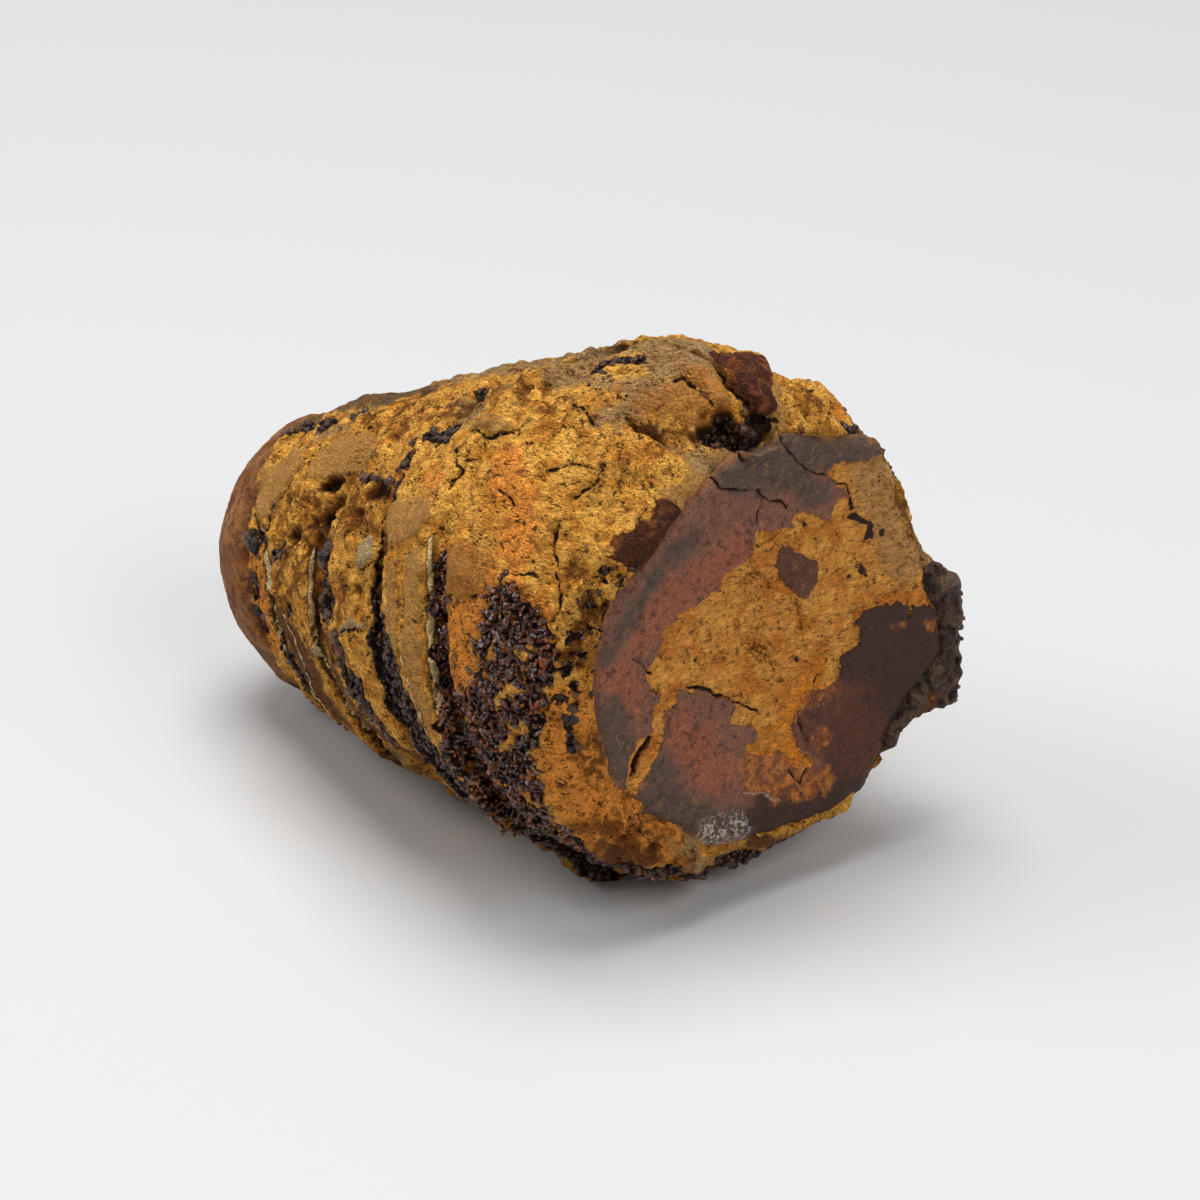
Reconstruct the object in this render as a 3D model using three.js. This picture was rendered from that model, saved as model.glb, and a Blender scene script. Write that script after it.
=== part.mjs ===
// Fossil nautiloid: the limonite and hematite cast of a tapering string of shell chambers,
// rounded at its small end and broken across a septum at its big end.
// One solid that lies on its side. Millimetres and degrees, +Z up, floor at Z = 0.
import * as THREE from "three";

// --- Driving dimensions ---------------------------------------------------------------

// The shell's axis starts at the first suture's centre and rises towards the big end.
const FIRST_SUTURE_CENTRE = new THREE.Vector3(-22.4, 0.5, 10.4);
const AXIS_TURN = -14.7; // about +Z
const AXIS_RISE = 12.7; // above the floor
const AXIS_DRIFT = 0.061; // sideways lean of the cross-sections, per mm of length
const AXIS_BEND = 0.0014; // their sideways curve, per mm squared

const SUTURES = [0, 11.5, 20.25, 27.25]; // places along the axis
const FLANK_END = 33; // where the flank rounds over to the broken face
const SMALL_RADIUS = 10.1; // at the first suture
const TAPER = 0.234; // growth of the radius per mm, as far as the last suture
const FLANK_END_RADIUS = 16.2;
const HEIGHT_TO_WIDTH = 1.03;
const DOME_LENGTH = 8.6; // the rounded small end, beyond the first suture
const DOME_FULLNESS = 2.7; // power of its outline: 2 would be an ellipse

const FACE_CENTRE = new THREE.Vector3(14.5, -3.6, 16.9);
const FACE_TURN = -16;
const FACE_RISE = 4;
const FACE_DISH = 1.0; // the septum is hollow by this much in its middle
// The broken edge's distance from the face's centre, every 20 degrees from the far side up.
const FACE_RADII = [
  12.8, 12.2, 13.0, 13.8, 13.6, 13.0, 12.9, 13.3, 14.0,
  14.3, 13.5, 12.9, 13.5, 13.2, 13.6, 13.9, 12.8, 13.8,
];

const SHOULDER_ARC = 48; // how far the flank has turned inwards where it meets the face

const WORN_FLAT = 0.9; // how much of the underside is worn off where the fossil rests

// --- Mesh layout ----------------------------------------------------------------------

const COLUMNS = 80;
const DOME_RINGS = 7;
const SHOULDER_RINGS = 7;
const FACE_RINGS = 9;
const SUTURE_RINGS = [-0.7, -0.1, 0.35, 1.2, 1.8]; // ring places about each suture
const RING_SPACING = 1.5; // between them

const radians = THREE.MathUtils.degToRad;

// --- Small helpers --------------------------------------------------------------------

// A smooth bump: 1 at the middle, falling to 0 about one and a half widths away.
function bump(distance, width) {
  return Math.exp(-((distance / width) ** 2));
}

// A bump with a flat top and steeper sides.
function plateau(distance, width) {
  return Math.exp(-((distance / width) ** 4));
}

// The signed difference between two angles, from -180 to 180.
function turnBetween(a, b) {
  return THREE.MathUtils.euclideanModulo(a - b + 180, 360) - 180;
}

// A value between those of a list spread evenly round a circle, joined smoothly.
function around(values, angle) {
  const place = (THREE.MathUtils.euclideanModulo(angle, 360) / 360) * values.length;
  const index = Math.floor(place);
  const blend = THREE.MathUtils.smoothstep(place - index, 0, 1);
  const next = values[(index + 1) % values.length];
  return THREE.MathUtils.lerp(values[index % values.length], next, blend);
}

// A repeatable pseudo-random number from 0 to 1 for each point of a whole-number grid.
function gridValue(x, y, z) {
  let n = Math.imul(x, 374761393) + Math.imul(y, 668265263) + Math.imul(z, 2147483647 - 61);
  n = Math.imul(n ^ (n >>> 13), 1274126177);
  return ((n ^ (n >>> 16)) >>> 0) / 4294967295;
}

// Smooth noise from -1 to 1, whose lumps are about `size` mm across.
function noise(point, size) {
  const p = point.clone().divideScalar(size);
  const cell = p.clone().floor();
  const f = p.sub(cell);
  const w = [f.x, f.y, f.z].map((v) => v * v * (3 - 2 * v));
  let total = 0;
  for (const i of [0, 1]) {
    for (const j of [0, 1]) {
      for (const k of [0, 1]) {
        const weight =
          (i ? w[0] : 1 - w[0]) * (j ? w[1] : 1 - w[1]) * (k ? w[2] : 1 - w[2]);
        total += weight * gridValue(cell.x + i, cell.y + j, cell.z + k);
      }
    }
  }
  return total * 2 - 1;
}

// --- The smooth form ------------------------------------------------------------------

const axisTilt = new THREE.Quaternion().setFromEuler(
  new THREE.Euler(0, -radians(AXIS_RISE), radians(AXIS_TURN), "ZYX"),
);
const faceTilt = new THREE.Quaternion().setFromEuler(
  new THREE.Euler(0, -radians(FACE_RISE), radians(FACE_TURN), "ZYX"),
);

function shellRadius(along) {
  if (along < 0) {
    const out = Math.min(-along / DOME_LENGTH, 1);
    return SMALL_RADIUS * Math.sqrt(1 - out ** DOME_FULLNESS);
  }
  const lastSuture = SUTURES[SUTURES.length - 1];
  const lastRadius = SMALL_RADIUS + TAPER * lastSuture;
  if (along < lastSuture) return SMALL_RADIUS + TAPER * along;
  const blend = (along - lastSuture) / (FLANK_END - lastSuture);
  return THREE.MathUtils.lerp(lastRadius, FLANK_END_RADIUS, blend);
}

// A point of the shell's wall, at a distance along the axis and an angle round it.
// Angle 0 is the far side, 90 the top, 180 the near side and 270 the underside.
function onShell(along, angle) {
  const radius = shellRadius(along);
  const sideways = AXIS_DRIFT * along + AXIS_BEND * along * along;
  return new THREE.Vector3(
    along,
    sideways + radius * Math.cos(radians(angle)),
    HEIGHT_TO_WIDTH * radius * Math.sin(radians(angle)),
  )
    .applyQuaternion(axisTilt)
    .add(FIRST_SUTURE_CENTRE);
}

// A point of the broken face's frame: across to the far side, up, and out of the face.
function onFace(across, up, out) {
  return new THREE.Vector3(out, across, up).applyQuaternion(faceTilt).add(FACE_CENTRE);
}

// The sutures aren't plain circles: they sag into three lobes.
function sutureLobe(along, angle) {
  const fade =
    THREE.MathUtils.smoothstep(along, -DOME_LENGTH, -2) *
    (1 - THREE.MathUtils.smoothstep(along, 27.5, FLANK_END));
  return 0.8 * fade * Math.cos(3 * radians(angle - 100));
}

// --- Relief ---------------------------------------------------------------------------

// Each suture is a groove, deep where its druse lies bare, behind a raised septal edge.
// deep: [middle angle, half-width in degrees, extra depth].
const SUTURE_RELIEF = [
  { shallow: 0.25, deep: [[172, 24, 0.7], [112, 16, 0.45], [330, 40, 0.5]], lip: 0.15 },
  { shallow: 0.3, deep: [[166, 20, 0.8], [135, 10, 0.5], [40, 30, 0.5]], lip: 0.35 },
  { shallow: 0.3, deep: [[195, 34, 1.1], [118, 12, 0.4], [300, 40, 0.7]], lip: 0.25 },
  { shallow: 0.25, deep: [[182, 45, 0.8], [20, 50, 0.6]], lip: 0.5 },
];

function sutureRelief(along, angle, point) {
  let height = 0;
  SUTURES.forEach((place, index) => {
    const { shallow, deep, lip } = SUTURE_RELIEF[index];
    let depth = shallow * (1 + noise(point, 4));
    for (const [middle, halfWidth, extra] of deep) {
      depth += extra * plateau(turnBetween(angle, middle), halfWidth);
    }
    height -= depth * plateau(along - place - 0.8, 0.75);
    height += lip * bump(along - place + 0.5, 0.6);
  });
  return height;
}

// Between two sutures a chamber swells a little.
function chamberSwell(along) {
  const index = SUTURES.findIndex((place, i) => along >= place && along < SUTURES[i + 1]);
  if (index < 0) return 0;
  const span = SUTURES[index + 1] - SUTURES[index];
  return 0.3 * Math.sin((Math.PI * (along - SUTURES[index])) / span);
}

// Single lumps, pits, knobs and chips: [where, radius, height], pits with a height below 0.
const FEATURES = [
  // Mound on the last chamber's top, with a dip before it and the pocket beyond it.
  [onShell(27.5, 97), 2.6, -0.45],
  [onShell(31.5, 92), 3.4, 0.75],
  [onShell(33.0, 88), 2.2, 0.3],
  [onFace(-5.6, 15.6, -2.4), 1.7, -1.0],
  [onFace(-4.1, 14.6, -0.9), 1.3, -1.5],
  [onFace(-1.9, 16.9, -3.4), 0.9, -0.9],
  [onFace(-0.4, 16.6, -2.3), 1.7, 0.6],
  [onFace(-1.4, 14.9, -0.6), 1.2, -0.9],
  [onFace(3.8, 15.0, -1.2), 2.4, 0.4],
  [onFace(6.5, 14.2, -2.6), 1.5, -0.6],
  // Rough hollow and pits in the second chamber.
  [onShell(10.2, 143), 1.9, -0.6],
  [onShell(9.2, 130), 1.3, -0.5],
  [onShell(8.0, 152), 1.6, -0.5],
  [onShell(6.8, 166), 1.2, -0.35],
  [onShell(9.6, 186), 1.4, -0.4],
  // Druse lumps that stand up out of the first and second grooves.
  [onShell(1.6, 160), 0.9, 0.6],
  [onShell(1.4, 171), 0.9, 0.55],
  [onShell(1.8, 187), 1.0, 0.6],
  [onShell(-0.2, 112), 1.0, 0.4],
  [onShell(2.2, 107), 1.0, 0.5],
  [onShell(3.2, 92), 0.8, 0.9],
  [onShell(12.8, 156), 0.8, 0.5],
  [onShell(13.2, 167), 0.8, 0.55],
  [onShell(13.2, 176), 0.8, 0.5],
  [onShell(22.0, 182), 1.0, 0.5],
  [onShell(23.4, 197), 1.1, 0.55],
  // The druse patch of the last chamber lies a little lower than the flank about it.
  [onShell(31.0, 172), 3.0, -0.35],
  [onShell(31.5, 190), 4.0, -0.45],
  [onShell(30.0, 208), 3.2, -0.3],
  [onShell(29.2, 158), 1.4, 0.35],
  [onShell(30.2, 178), 1.3, 0.4],
  // Crystalline block and chips at the near edge of the face.
  [onFace(-10.4, 9.6, -0.6), 1.5, 0.5],
  [onFace(-12.6, 6.2, -0.5), 1.1, -0.4],
  // Knobbly crust that stands proud behind the face's far edge, over a hollow groove.
  [onFace(14.3, -1.2, -1.8), 1.5, 2.1],
  [onFace(14.8, -4.2, -2.0), 1.6, 2.0],
  [onFace(13.8, -7.2, -2.2), 1.5, 2.2],
  [onFace(13.1, -2.4, 0.0), 1.0, -0.6],
  [onFace(12.2, -6.2, 0.0), 1.0, -0.6],
  // The wall is broken away above that crust.
  [onFace(13.6, 4.2, -2.0), 3.0, -1.1],
  [onFace(10.4, 10.6, -3.2), 3.6, -1.2],
  // Crust and knobs along the underside of the last chamber.
  [onFace(-6.3, -13.6, -1.0), 1.5, 0.7],
  [onFace(-9.4, -12.8, -1.6), 1.6, 0.6],
  [onFace(-2.2, -13.9, -1.2), 1.5, 0.5],
  [onShell(28.6, 226), 1.5, 0.25],
  [onShell(31.5, 236), 1.8, 0.5],
  [onShell(24.2, 218), 1.3, 0.3],
  [onShell(18.0, 222), 3.5, -0.5],
  // Four low swellings of the underside, which it rests on.
  [onShell(1.5, 254), 2.6, 0.7],
  [onShell(2.5, 287), 2.6, 0.7],
  [onShell(26.5, 256), 3.0, 0.4],
  [onShell(28.5, 288), 3.0, 0.5],
  // Broken hollows and lumps on the far side.
  [onShell(6.0, 30), 2.6, -0.7],
  [onShell(16.0, 5), 3.0, 0.6],
  [onShell(24.0, 330), 3.4, -0.8],
  [onShell(25.5, 40), 2.6, 0.7],
  [onShell(31.0, 15), 3.0, -0.9],
  [onShell(16.5, 60), 2.0, -0.5],
  [onShell(30.5, 350), 2.0, 0.7],
  // On the face: a long slit, a loose island of septum and a vein.
  [onFace(-9.6, -6.2, -0.6), 0.8, -0.9],
  [onFace(-9.0, -7.8, -0.6), 0.8, -0.9],
  [onFace(2.4, 4.4, -0.9), 1.1, 0.4],
  [onFace(1.6, -6.6, -0.8), 1.0, 0.35],
  [onFace(-1.4, -8.6, -0.7), 1.0, 0.35],
];

// Where the smooth septum has flaked off the face, its filling lies a step lower.
const FLAKED = [
  [onFace(-1.5, 2.5, -0.9), 4.2, 0.35],
  [onFace(3.5, 7.5, -0.7), 3.6, 0.35],
  [onFace(-5.5, 0.5, -0.8), 3.0, 0.3],
  [onFace(7.5, 5.0, -0.6), 3.0, 0.3],
  [onFace(4.0, -2.5, -0.9), 3.0, 0.3],
];

function reliefAt(point, along, angle, roughness) {
  let height = roughness * (0.38 * noise(point, 5.2) + 0.24 * noise(point, 2.3));
  height += roughness * 0.12 * noise(point, 1.2);
  for (const [where, radius, rise] of FEATURES) {
    height += rise * bump(point.distanceTo(where), radius);
  }
  if (along !== null) {
    height += sutureRelief(along, angle, point) + chamberSwell(along);
  } else {
    let flaked = 0;
    for (const [where, radius, depth] of FLAKED) {
      flaked = Math.max(flaked, depth * plateau(point.distanceTo(where), radius));
    }
    height -= flaked;
  }
  return height;
}

// --- Rings of the mesh ----------------------------------------------------------------

// Each ring is a list of { point, along, angle, roughness } from the small end to the face.
function shellRing(along, roughness) {
  const ring = [];
  for (let column = 0; column < COLUMNS; column += 1) {
    const angle = (column / COLUMNS) * 360;
    const point = onShell(along + sutureLobe(along, angle), angle);
    ring.push({ point, along, angle, roughness });
  }
  return ring;
}

function flankStations() {
  const stations = [];
  SUTURES.forEach((place, index) => {
    for (const offset of SUTURE_RINGS) stations.push(place + offset);
    const from = stations[stations.length - 1];
    const last = index === SUTURES.length - 1;
    const to = last ? FLANK_END : SUTURES[index + 1] + SUTURE_RINGS[0];
    const steps = Math.max(1, Math.round((to - from) / RING_SPACING));
    for (let step = 1; step < steps; step += 1) stations.push(from + ((to - from) * step) / steps);
  });
  return [...stations, FLANK_END];
}

function facePoint(column, share) {
  const angle = (column / COLUMNS) * 360;
  const radius = around(FACE_RADII, angle) * share;
  const dish = FACE_DISH * (1 - share * share);
  return onFace(radius * Math.cos(radians(angle)), radius * Math.sin(radians(angle)), -dish);
}

// Between the flank's last ring and the face's edge the surface rounds over.
function shoulderRing(flankRing, share) {
  const axis = new THREE.Vector3(1, 0, 0).applyQuaternion(axisTilt);
  const arc = radians(SHOULDER_ARC);
  const forward = Math.sin(share * arc) / Math.sin(arc);
  const inward = (1 - Math.cos(share * arc)) / (1 - Math.cos(arc));
  return flankRing.map(({ point, angle }, column) => {
    const step = facePoint(column, 1).sub(point);
    const ahead = axis.clone().multiplyScalar(step.dot(axis));
    const aside = step.sub(ahead);
    const placed = point.clone().addScaledVector(ahead, forward).addScaledVector(aside, inward);
    return { point: placed, along: null, angle, roughness: 1 };
  });
}

function buildRings() {
  const rings = [];
  for (let k = 1; k < DOME_RINGS; k += 1) {
    const along = -DOME_LENGTH * Math.cos((k / DOME_RINGS) * (Math.PI / 2));
    rings.push(shellRing(along, 0.35));
  }
  for (const along of flankStations()) rings.push(shellRing(along, 1));
  const flankRing = rings[rings.length - 1];
  for (let k = 1; k <= SHOULDER_RINGS; k += 1) {
    rings.push(shoulderRing(flankRing, k / SHOULDER_RINGS));
  }
  for (let k = 1; k < FACE_RINGS; k += 1) {
    const ring = [];
    for (let column = 0; column < COLUMNS; column += 1) {
      const point = facePoint(column, 1 - k / FACE_RINGS);
      ring.push({ point, along: null, angle: 0, roughness: 0.3 });
    }
    rings.push(ring);
  }
  return rings;
}

// --- The solid ------------------------------------------------------------------------

function fossilGeometry() {
  const rings = buildRings();
  const places = rings.flat();
  const smallPole = { point: onShell(-DOME_LENGTH, 0), along: -DOME_LENGTH, angle: 0, roughness: 0 };
  const facePole = { point: onFace(0, 0, -FACE_DISH), along: null, angle: 0, roughness: 0 };
  places.push(smallPole, facePole);

  const index = [];
  for (let ring = 0; ring < rings.length - 1; ring += 1) {
    for (let column = 0; column < COLUMNS; column += 1) {
      const next = (column + 1) % COLUMNS;
      const a = ring * COLUMNS + column;
      const b = ring * COLUMNS + next;
      const c = a + COLUMNS;
      const d = b + COLUMNS;
      index.push(a, b, d, a, d, c);
    }
  }
  const smallPoleIndex = places.length - 2;
  const facePoleIndex = places.length - 1;
  const lastRing = (rings.length - 1) * COLUMNS;
  for (let column = 0; column < COLUMNS; column += 1) {
    const next = (column + 1) % COLUMNS;
    index.push(smallPoleIndex, next, column);
    index.push(facePoleIndex, lastRing + column, lastRing + next);
  }

  const geometry = new THREE.BufferGeometry().setFromPoints(places.map(({ point }) => point));
  geometry.setIndex(index);
  geometry.computeVertexNormals();
  const position = geometry.getAttribute("position");
  const normal = geometry.getAttribute("normal");

  // The relief stands out along the smooth form's normals.
  places.forEach(({ point, along, angle, roughness }, i) => {
    const height = reliefAt(point, along, angle, roughness);
    const outward = new THREE.Vector3().fromBufferAttribute(normal, i);
    const placed = point.clone().addScaledVector(outward, height);
    position.setXYZ(i, placed.x, placed.y, placed.z);
  });

  // The underside is worn flat where it touches, and the origin is below the middle.
  geometry.computeBoundingBox();
  const floor = geometry.boundingBox.min.z + WORN_FLAT;
  for (let i = 0; i < position.count; i += 1) {
    position.setZ(i, Math.max(position.getZ(i), floor));
  }
  geometry.computeBoundingBox();
  const { min, max } = geometry.boundingBox;
  geometry.translate(-(min.x + max.x) / 2, -(min.y + max.y) / 2, -min.z);
  geometry.deleteAttribute("normal");
  return geometry;
}

const limonite = new THREE.MeshStandardMaterial({
  name: "limonite",
  color: 0xa5742f,
  roughness: 0.85,
  metalness: 0,
});

const fossil = new THREE.Mesh(fossilGeometry(), limonite);
fossil.name = "fossil";

const model = new THREE.Group();
model.add(fossil);

export default model;
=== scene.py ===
# The looks of a fossil nautiloid: a limonite and hematite cast of a string of shell chambers,
# lying on its side, with druse in its sutures and the skin of a septum on its broken end.
import itertools
import math
import bmesh
import bpy
import numpy as np
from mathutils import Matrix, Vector


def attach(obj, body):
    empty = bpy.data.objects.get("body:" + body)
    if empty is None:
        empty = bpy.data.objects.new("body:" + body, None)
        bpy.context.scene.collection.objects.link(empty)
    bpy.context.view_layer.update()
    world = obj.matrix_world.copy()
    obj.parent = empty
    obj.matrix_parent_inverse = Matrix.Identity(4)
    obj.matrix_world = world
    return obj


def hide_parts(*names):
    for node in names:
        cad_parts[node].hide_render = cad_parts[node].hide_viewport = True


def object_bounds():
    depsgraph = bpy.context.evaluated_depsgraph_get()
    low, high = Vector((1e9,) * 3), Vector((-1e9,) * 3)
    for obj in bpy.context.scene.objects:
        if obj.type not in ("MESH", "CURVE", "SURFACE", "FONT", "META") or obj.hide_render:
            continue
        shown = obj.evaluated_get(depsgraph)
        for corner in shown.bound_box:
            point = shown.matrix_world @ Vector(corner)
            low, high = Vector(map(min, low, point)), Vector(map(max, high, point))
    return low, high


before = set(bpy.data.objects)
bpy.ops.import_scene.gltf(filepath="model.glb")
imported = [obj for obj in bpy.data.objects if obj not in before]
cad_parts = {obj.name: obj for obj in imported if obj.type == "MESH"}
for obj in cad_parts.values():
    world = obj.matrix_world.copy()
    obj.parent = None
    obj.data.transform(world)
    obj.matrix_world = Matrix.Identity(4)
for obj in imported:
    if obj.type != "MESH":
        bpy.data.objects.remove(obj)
cad_low, cad_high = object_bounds()


# --- Camera ---------------------------------------------------------------------------
# A long lens looks down on the fossil's near side, so the broken end faces the right. It aims
# a little below the middle of the fossil and towards its broken end.
MM = 0.001
CAMERA_AZIMUTH = math.radians(38)
CAMERA_ELEVATION = math.radians(27)
CAMERA_DISTANCE = 260 * MM

camera_back = Vector((
    math.sin(CAMERA_AZIMUTH) * math.cos(CAMERA_ELEVATION),
    -math.cos(CAMERA_AZIMUTH) * math.cos(CAMERA_ELEVATION),
    math.sin(CAMERA_ELEVATION),
))
camera_aim = (cad_low + cad_high) / 2 + Vector((4.2, 3.5, -4.0)) * MM
camera_data = bpy.data.cameras.new("camera")
camera_data.lens = 120
camera_data.sensor_width = 36
camera_data.clip_start = 10 * MM
camera = bpy.data.objects.new("camera", camera_data)
camera.location = camera_aim + camera_back * CAMERA_DISTANCE
camera.rotation_euler = (-camera_back).to_track_quat("-Z", "Y").to_euler()
bpy.context.scene.collection.objects.link(camera)
bpy.context.scene.camera = camera


# --- Table top ------------------------------------------------------------------------
# A smooth white sheet with a slight gloss, far wider than the view. It is only the stage, so it
# has one plain finish.
TABLE_SIDE = 4.0


class Socket:
    """A node's output. Arithmetic on it adds the Math nodes that work the result out."""

    def __init__(self, shader, link):
        self.shader = shader
        self.link = link

    def math(self, operation, *others):
        return self.shader.node("ShaderNodeMath", {"operation": operation}, [self, *others])

    def __add__(self, other):
        return self.math("ADD", other)

    def __sub__(self, other):
        return self.math("SUBTRACT", other)

    def __mul__(self, other):
        return self.math("MULTIPLY", other)

    def __rsub__(self, other):
        return self.shader.node("ShaderNodeMath", {"operation": "SUBTRACT"}, [other, self])

    __radd__ = __add__
    __rmul__ = __mul__

    def between(self, low, high):
        """0 up to low and 1 from high on, or the other way round if low is the larger."""
        values = {"Value": self, "From Min": low, "From Max": high}
        return self.shader.node("ShaderNodeMapRange", {"interpolation_type": "SMOOTHSTEP"}, values)


class Shader:
    """One material and its nodes, with patterns measured in millimetres on the object."""

    def __init__(self, name):
        self.material = bpy.data.materials.new(name)
        self.material.use_nodes = True
        self.tree = self.material.node_tree
        self.tree.nodes.clear()
        metres = self.node("ShaderNodeTexCoord", output="Object")
        scaling = {"operation": "SCALE"}
        self.place = self.node("ShaderNodeVectorMath", scaling, {"Vector": metres, "Scale": 1 / MM})

    def node(self, kind, settings=None, values=(), output=0):
        """Adds a node: its settings first, then the values or links of its sockets."""
        made = self.tree.nodes.new(kind)
        for name, setting in (settings or {}).items():
            setattr(made, name, setting)
        named = values.items() if isinstance(values, dict) else enumerate(values)
        for name, value in named:
            if isinstance(value, Socket):
                self.tree.links.new(value.link, made.inputs[name])
            else:
                made.inputs[name].default_value = value
        return Socket(self, made.outputs[output]) if made.outputs else None

    def noise(self, size, detail=2.0, distortion=0.0, place=None):
        values = {"Vector": place or self.place, "Scale": 1 / size, "Detail": detail}
        values["Distortion"] = distortion
        return self.node("ShaderNodeTexNoise", None, values)

    def cells(self, size, output="Distance"):
        values = {"Vector": self.place, "Scale": 1 / size}
        return self.node("ShaderNodeTexVoronoi", None, values, output)

    def field(self, name):
        """A value that the mesh carries at its vertices."""
        return self.node("ShaderNodeAttribute", {"attribute_name": name}, output="Fac")

    def area(self, name, ragged, low, high):
        """Where a field rises from low to high, with an edge that a pattern makes ragged."""
        return (self.field(name) + ragged).between(low, high)

    def mix(self, share, first, second):
        return self.node("ShaderNodeMix", {"data_type": "RGBA"}, {0: share, 6: first, 7: second}, 2)

    def layers(self, colour, *coats):
        """A colour with others laid over it in turn, each on its own share of the surface."""
        for share, coat in coats:
            colour = self.mix(share, colour, coat)
        return colour

    def shade(self, colour, light):
        """A colour made lighter or darker by a value."""
        return self.node("ShaderNodeVectorMath", {"operation": "SCALE"}, {0: colour, "Scale": light})

    def stretched(self, sizes, turn):
        """The place on the object, turned and squeezed, for patterns with a grain."""
        values = {"Vector": self.place, "Rotation": turn, "Scale": sizes}
        return self.node("ShaderNodeMapping", None, values)

    def finish(self, height=None, rise=0.1, **values):
        """Ends the material: a Principled shader, with height in units of rise millimetres."""
        if height is not None:
            bump = {"Height": height, "Distance": rise * MM, "Strength": 1.0}
            values["Normal"] = self.node("ShaderNodeBump", None, bump)
        surface = self.node("ShaderNodeBsdfPrincipled", None, {
            name.replace("_", " "): value for name, value in values.items()
        })
        self.node("ShaderNodeOutputMaterial", None, {"Surface": surface})
        return self.material


def tone(red, green, blue):
    """A colour given in screen values from 0 to 255."""
    shares = [v / 255 for v in (red, green, blue)]
    return (*[v / 12.92 if v < 0.04045 else ((v + 0.055) / 1.055) ** 2.4 for v in shares], 1.0)


bpy.ops.object.select_all(action="DESELECT")
bpy.ops.mesh.primitive_plane_add(size=TABLE_SIDE)
table_top = bpy.context.active_object
table_top.name = "table_top"
sheet = Shader("white_sheet")
table_top.data.materials.append(sheet.finish(
    Base_Color=tone(210, 210, 210), Roughness=0.22, Specular_IOR_Level=0.35,
))


# --- Light ----------------------------------------------------------------------------
# Soft boxes over the fossil: a broad one overhead, a little behind it, and two at its sides.
# A faint even light from all round fills the shadows.
SOFT_BOXES = {  # name: (place in mm from the fossil, side in mm, watts)
    "overhead": ((-80, 70, 640), 400, 3.8),
    "left": ((-420, -300, 420), 340, 1.6),
    "right": ((480, -120, 420), 340, 1.5),
}
SKY = 0.2

for name, (place, side, watts) in SOFT_BOXES.items():
    light_data = bpy.data.lights.new(name, "AREA")
    light_data.energy = watts
    light_data.size = side * MM
    light = bpy.data.objects.new(name, light_data)
    light.location = Vector(place) * MM
    light.rotation_euler = light.location.to_track_quat("Z", "Y").to_euler()
    bpy.context.scene.collection.objects.link(light)
world = bpy.data.worlds.new("room")
world.use_nodes = True
world.node_tree.nodes["Background"].inputs["Color"].default_value = (1.0, 1.0, 1.0, 1.0)
world.node_tree.nodes["Background"].inputs["Strength"].default_value = SKY
bpy.context.scene.world = world
bpy.context.scene.view_settings.view_transform = "Standard"


# --- Fossil body ----------------------------------------------------------------------
# The chambers' limonite filling: ochre, crumbly and pitted, with ledges where the septa met
# the wall. It grew as one mass, and is worn and broken but neither cut nor polished.
BODY_VOXEL = 0.215
BODY_SMOOTHING = 5
PLATE_ROOM = 0.9  # how far the filling is sunk behind the last septum
MOST_TRIANGLES = 196000

# The shell's axis and its broken face, in millimetres from the lowest corner of the frame.
AXIS_START = (9.135, 20.258, 10.639)
AXIS_TURN = math.radians(-14.7)
AXIS_RISE = math.radians(12.7)
AXIS_DRIFT = 0.061
AXIS_BEND = 0.0014
SMALL_RADIUS = 10.1
TAPER = 0.234
HEIGHT_TO_WIDTH = 1.03
WALL_RADIUS = 16.5
FACE_CENTRE = (46.035, 16.158, 17.139)
FACE_TURN = math.radians(-16)
FACE_RISE = math.radians(4)
FACE_DISH = 1.0
FACE_RADIUS = 13.4
FACE_RIM = {  # the radius at angles from the far side up
    1: 12.3, 13: 12.4, 22: 12.0, 35: 12.4, 42: 13.3, 49: 14.0, 56: 14.2, 64: 13.6, 71: 13.4, 81: 13.7,
    92: 13.7, 105: 13.4, 114: 13.1, 127: 13.0, 138: 13.2, 151: 13.7, 164: 14.1, 182: 13.9, 200: 14.0,
    206: 13.8, 213: 13.3, 222: 13.4, 231: 13.0, 245: 13.5, 255: 13.2, 263: 12.8, 272: 12.8, 280: 13.2,
    290: 13.8, 299: 14.0, 305: 13.7, 311: 13.2, 314: 12.7, 322: 12.6, 332: 13.2, 341: 14.3, 352: 13.5,
}
# The crust that juts out under the rim on the far side: how far out of the face its middle is,
# how far it spreads from there, and its radius at the same angles.
LEDGE_OUT = -1.0
LEDGE_SPREAD = 0.9
LEDGE_RIM = {
    0: 14.9, 3: 14.1, 8: 13.0, 12: 0.0, 305: 0.0, 309: 13.2, 315: 13.4, 320: 14.1, 324: 14.7, 327: 15.9,
    330: 17.1, 334: 17.0, 337: 16.1, 341: 15.8, 345: 15.6, 351: 15.5, 354: 15.9, 357: 15.6,
}

NOT_NEAR = 99.0  # farther than any distance that matters, in mm
FAR_OUTSIDE = -3.0  # how far outside a stroke is told apart
STROKE_DEPTH = 1.6  # how far in or out of the surface a stroke still reaches
OFF_TABLE = 0.01  # the lowest place of a vertex

corner = np.array(cad_low) / MM


def tilted(turn, rise):
    """The rows ahead, aside and up of a frame that is turned about Z and raised."""
    ahead = (math.cos(rise) * math.cos(turn), math.cos(rise) * math.sin(turn), math.sin(rise))
    aside = (-math.sin(turn), math.cos(turn), 0.0)
    return np.array([ahead, aside, np.cross(ahead, aside)])


axis_rows = tilted(AXIS_TURN, AXIS_RISE)
face_rows = tilted(FACE_TURN, FACE_RISE)


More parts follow.
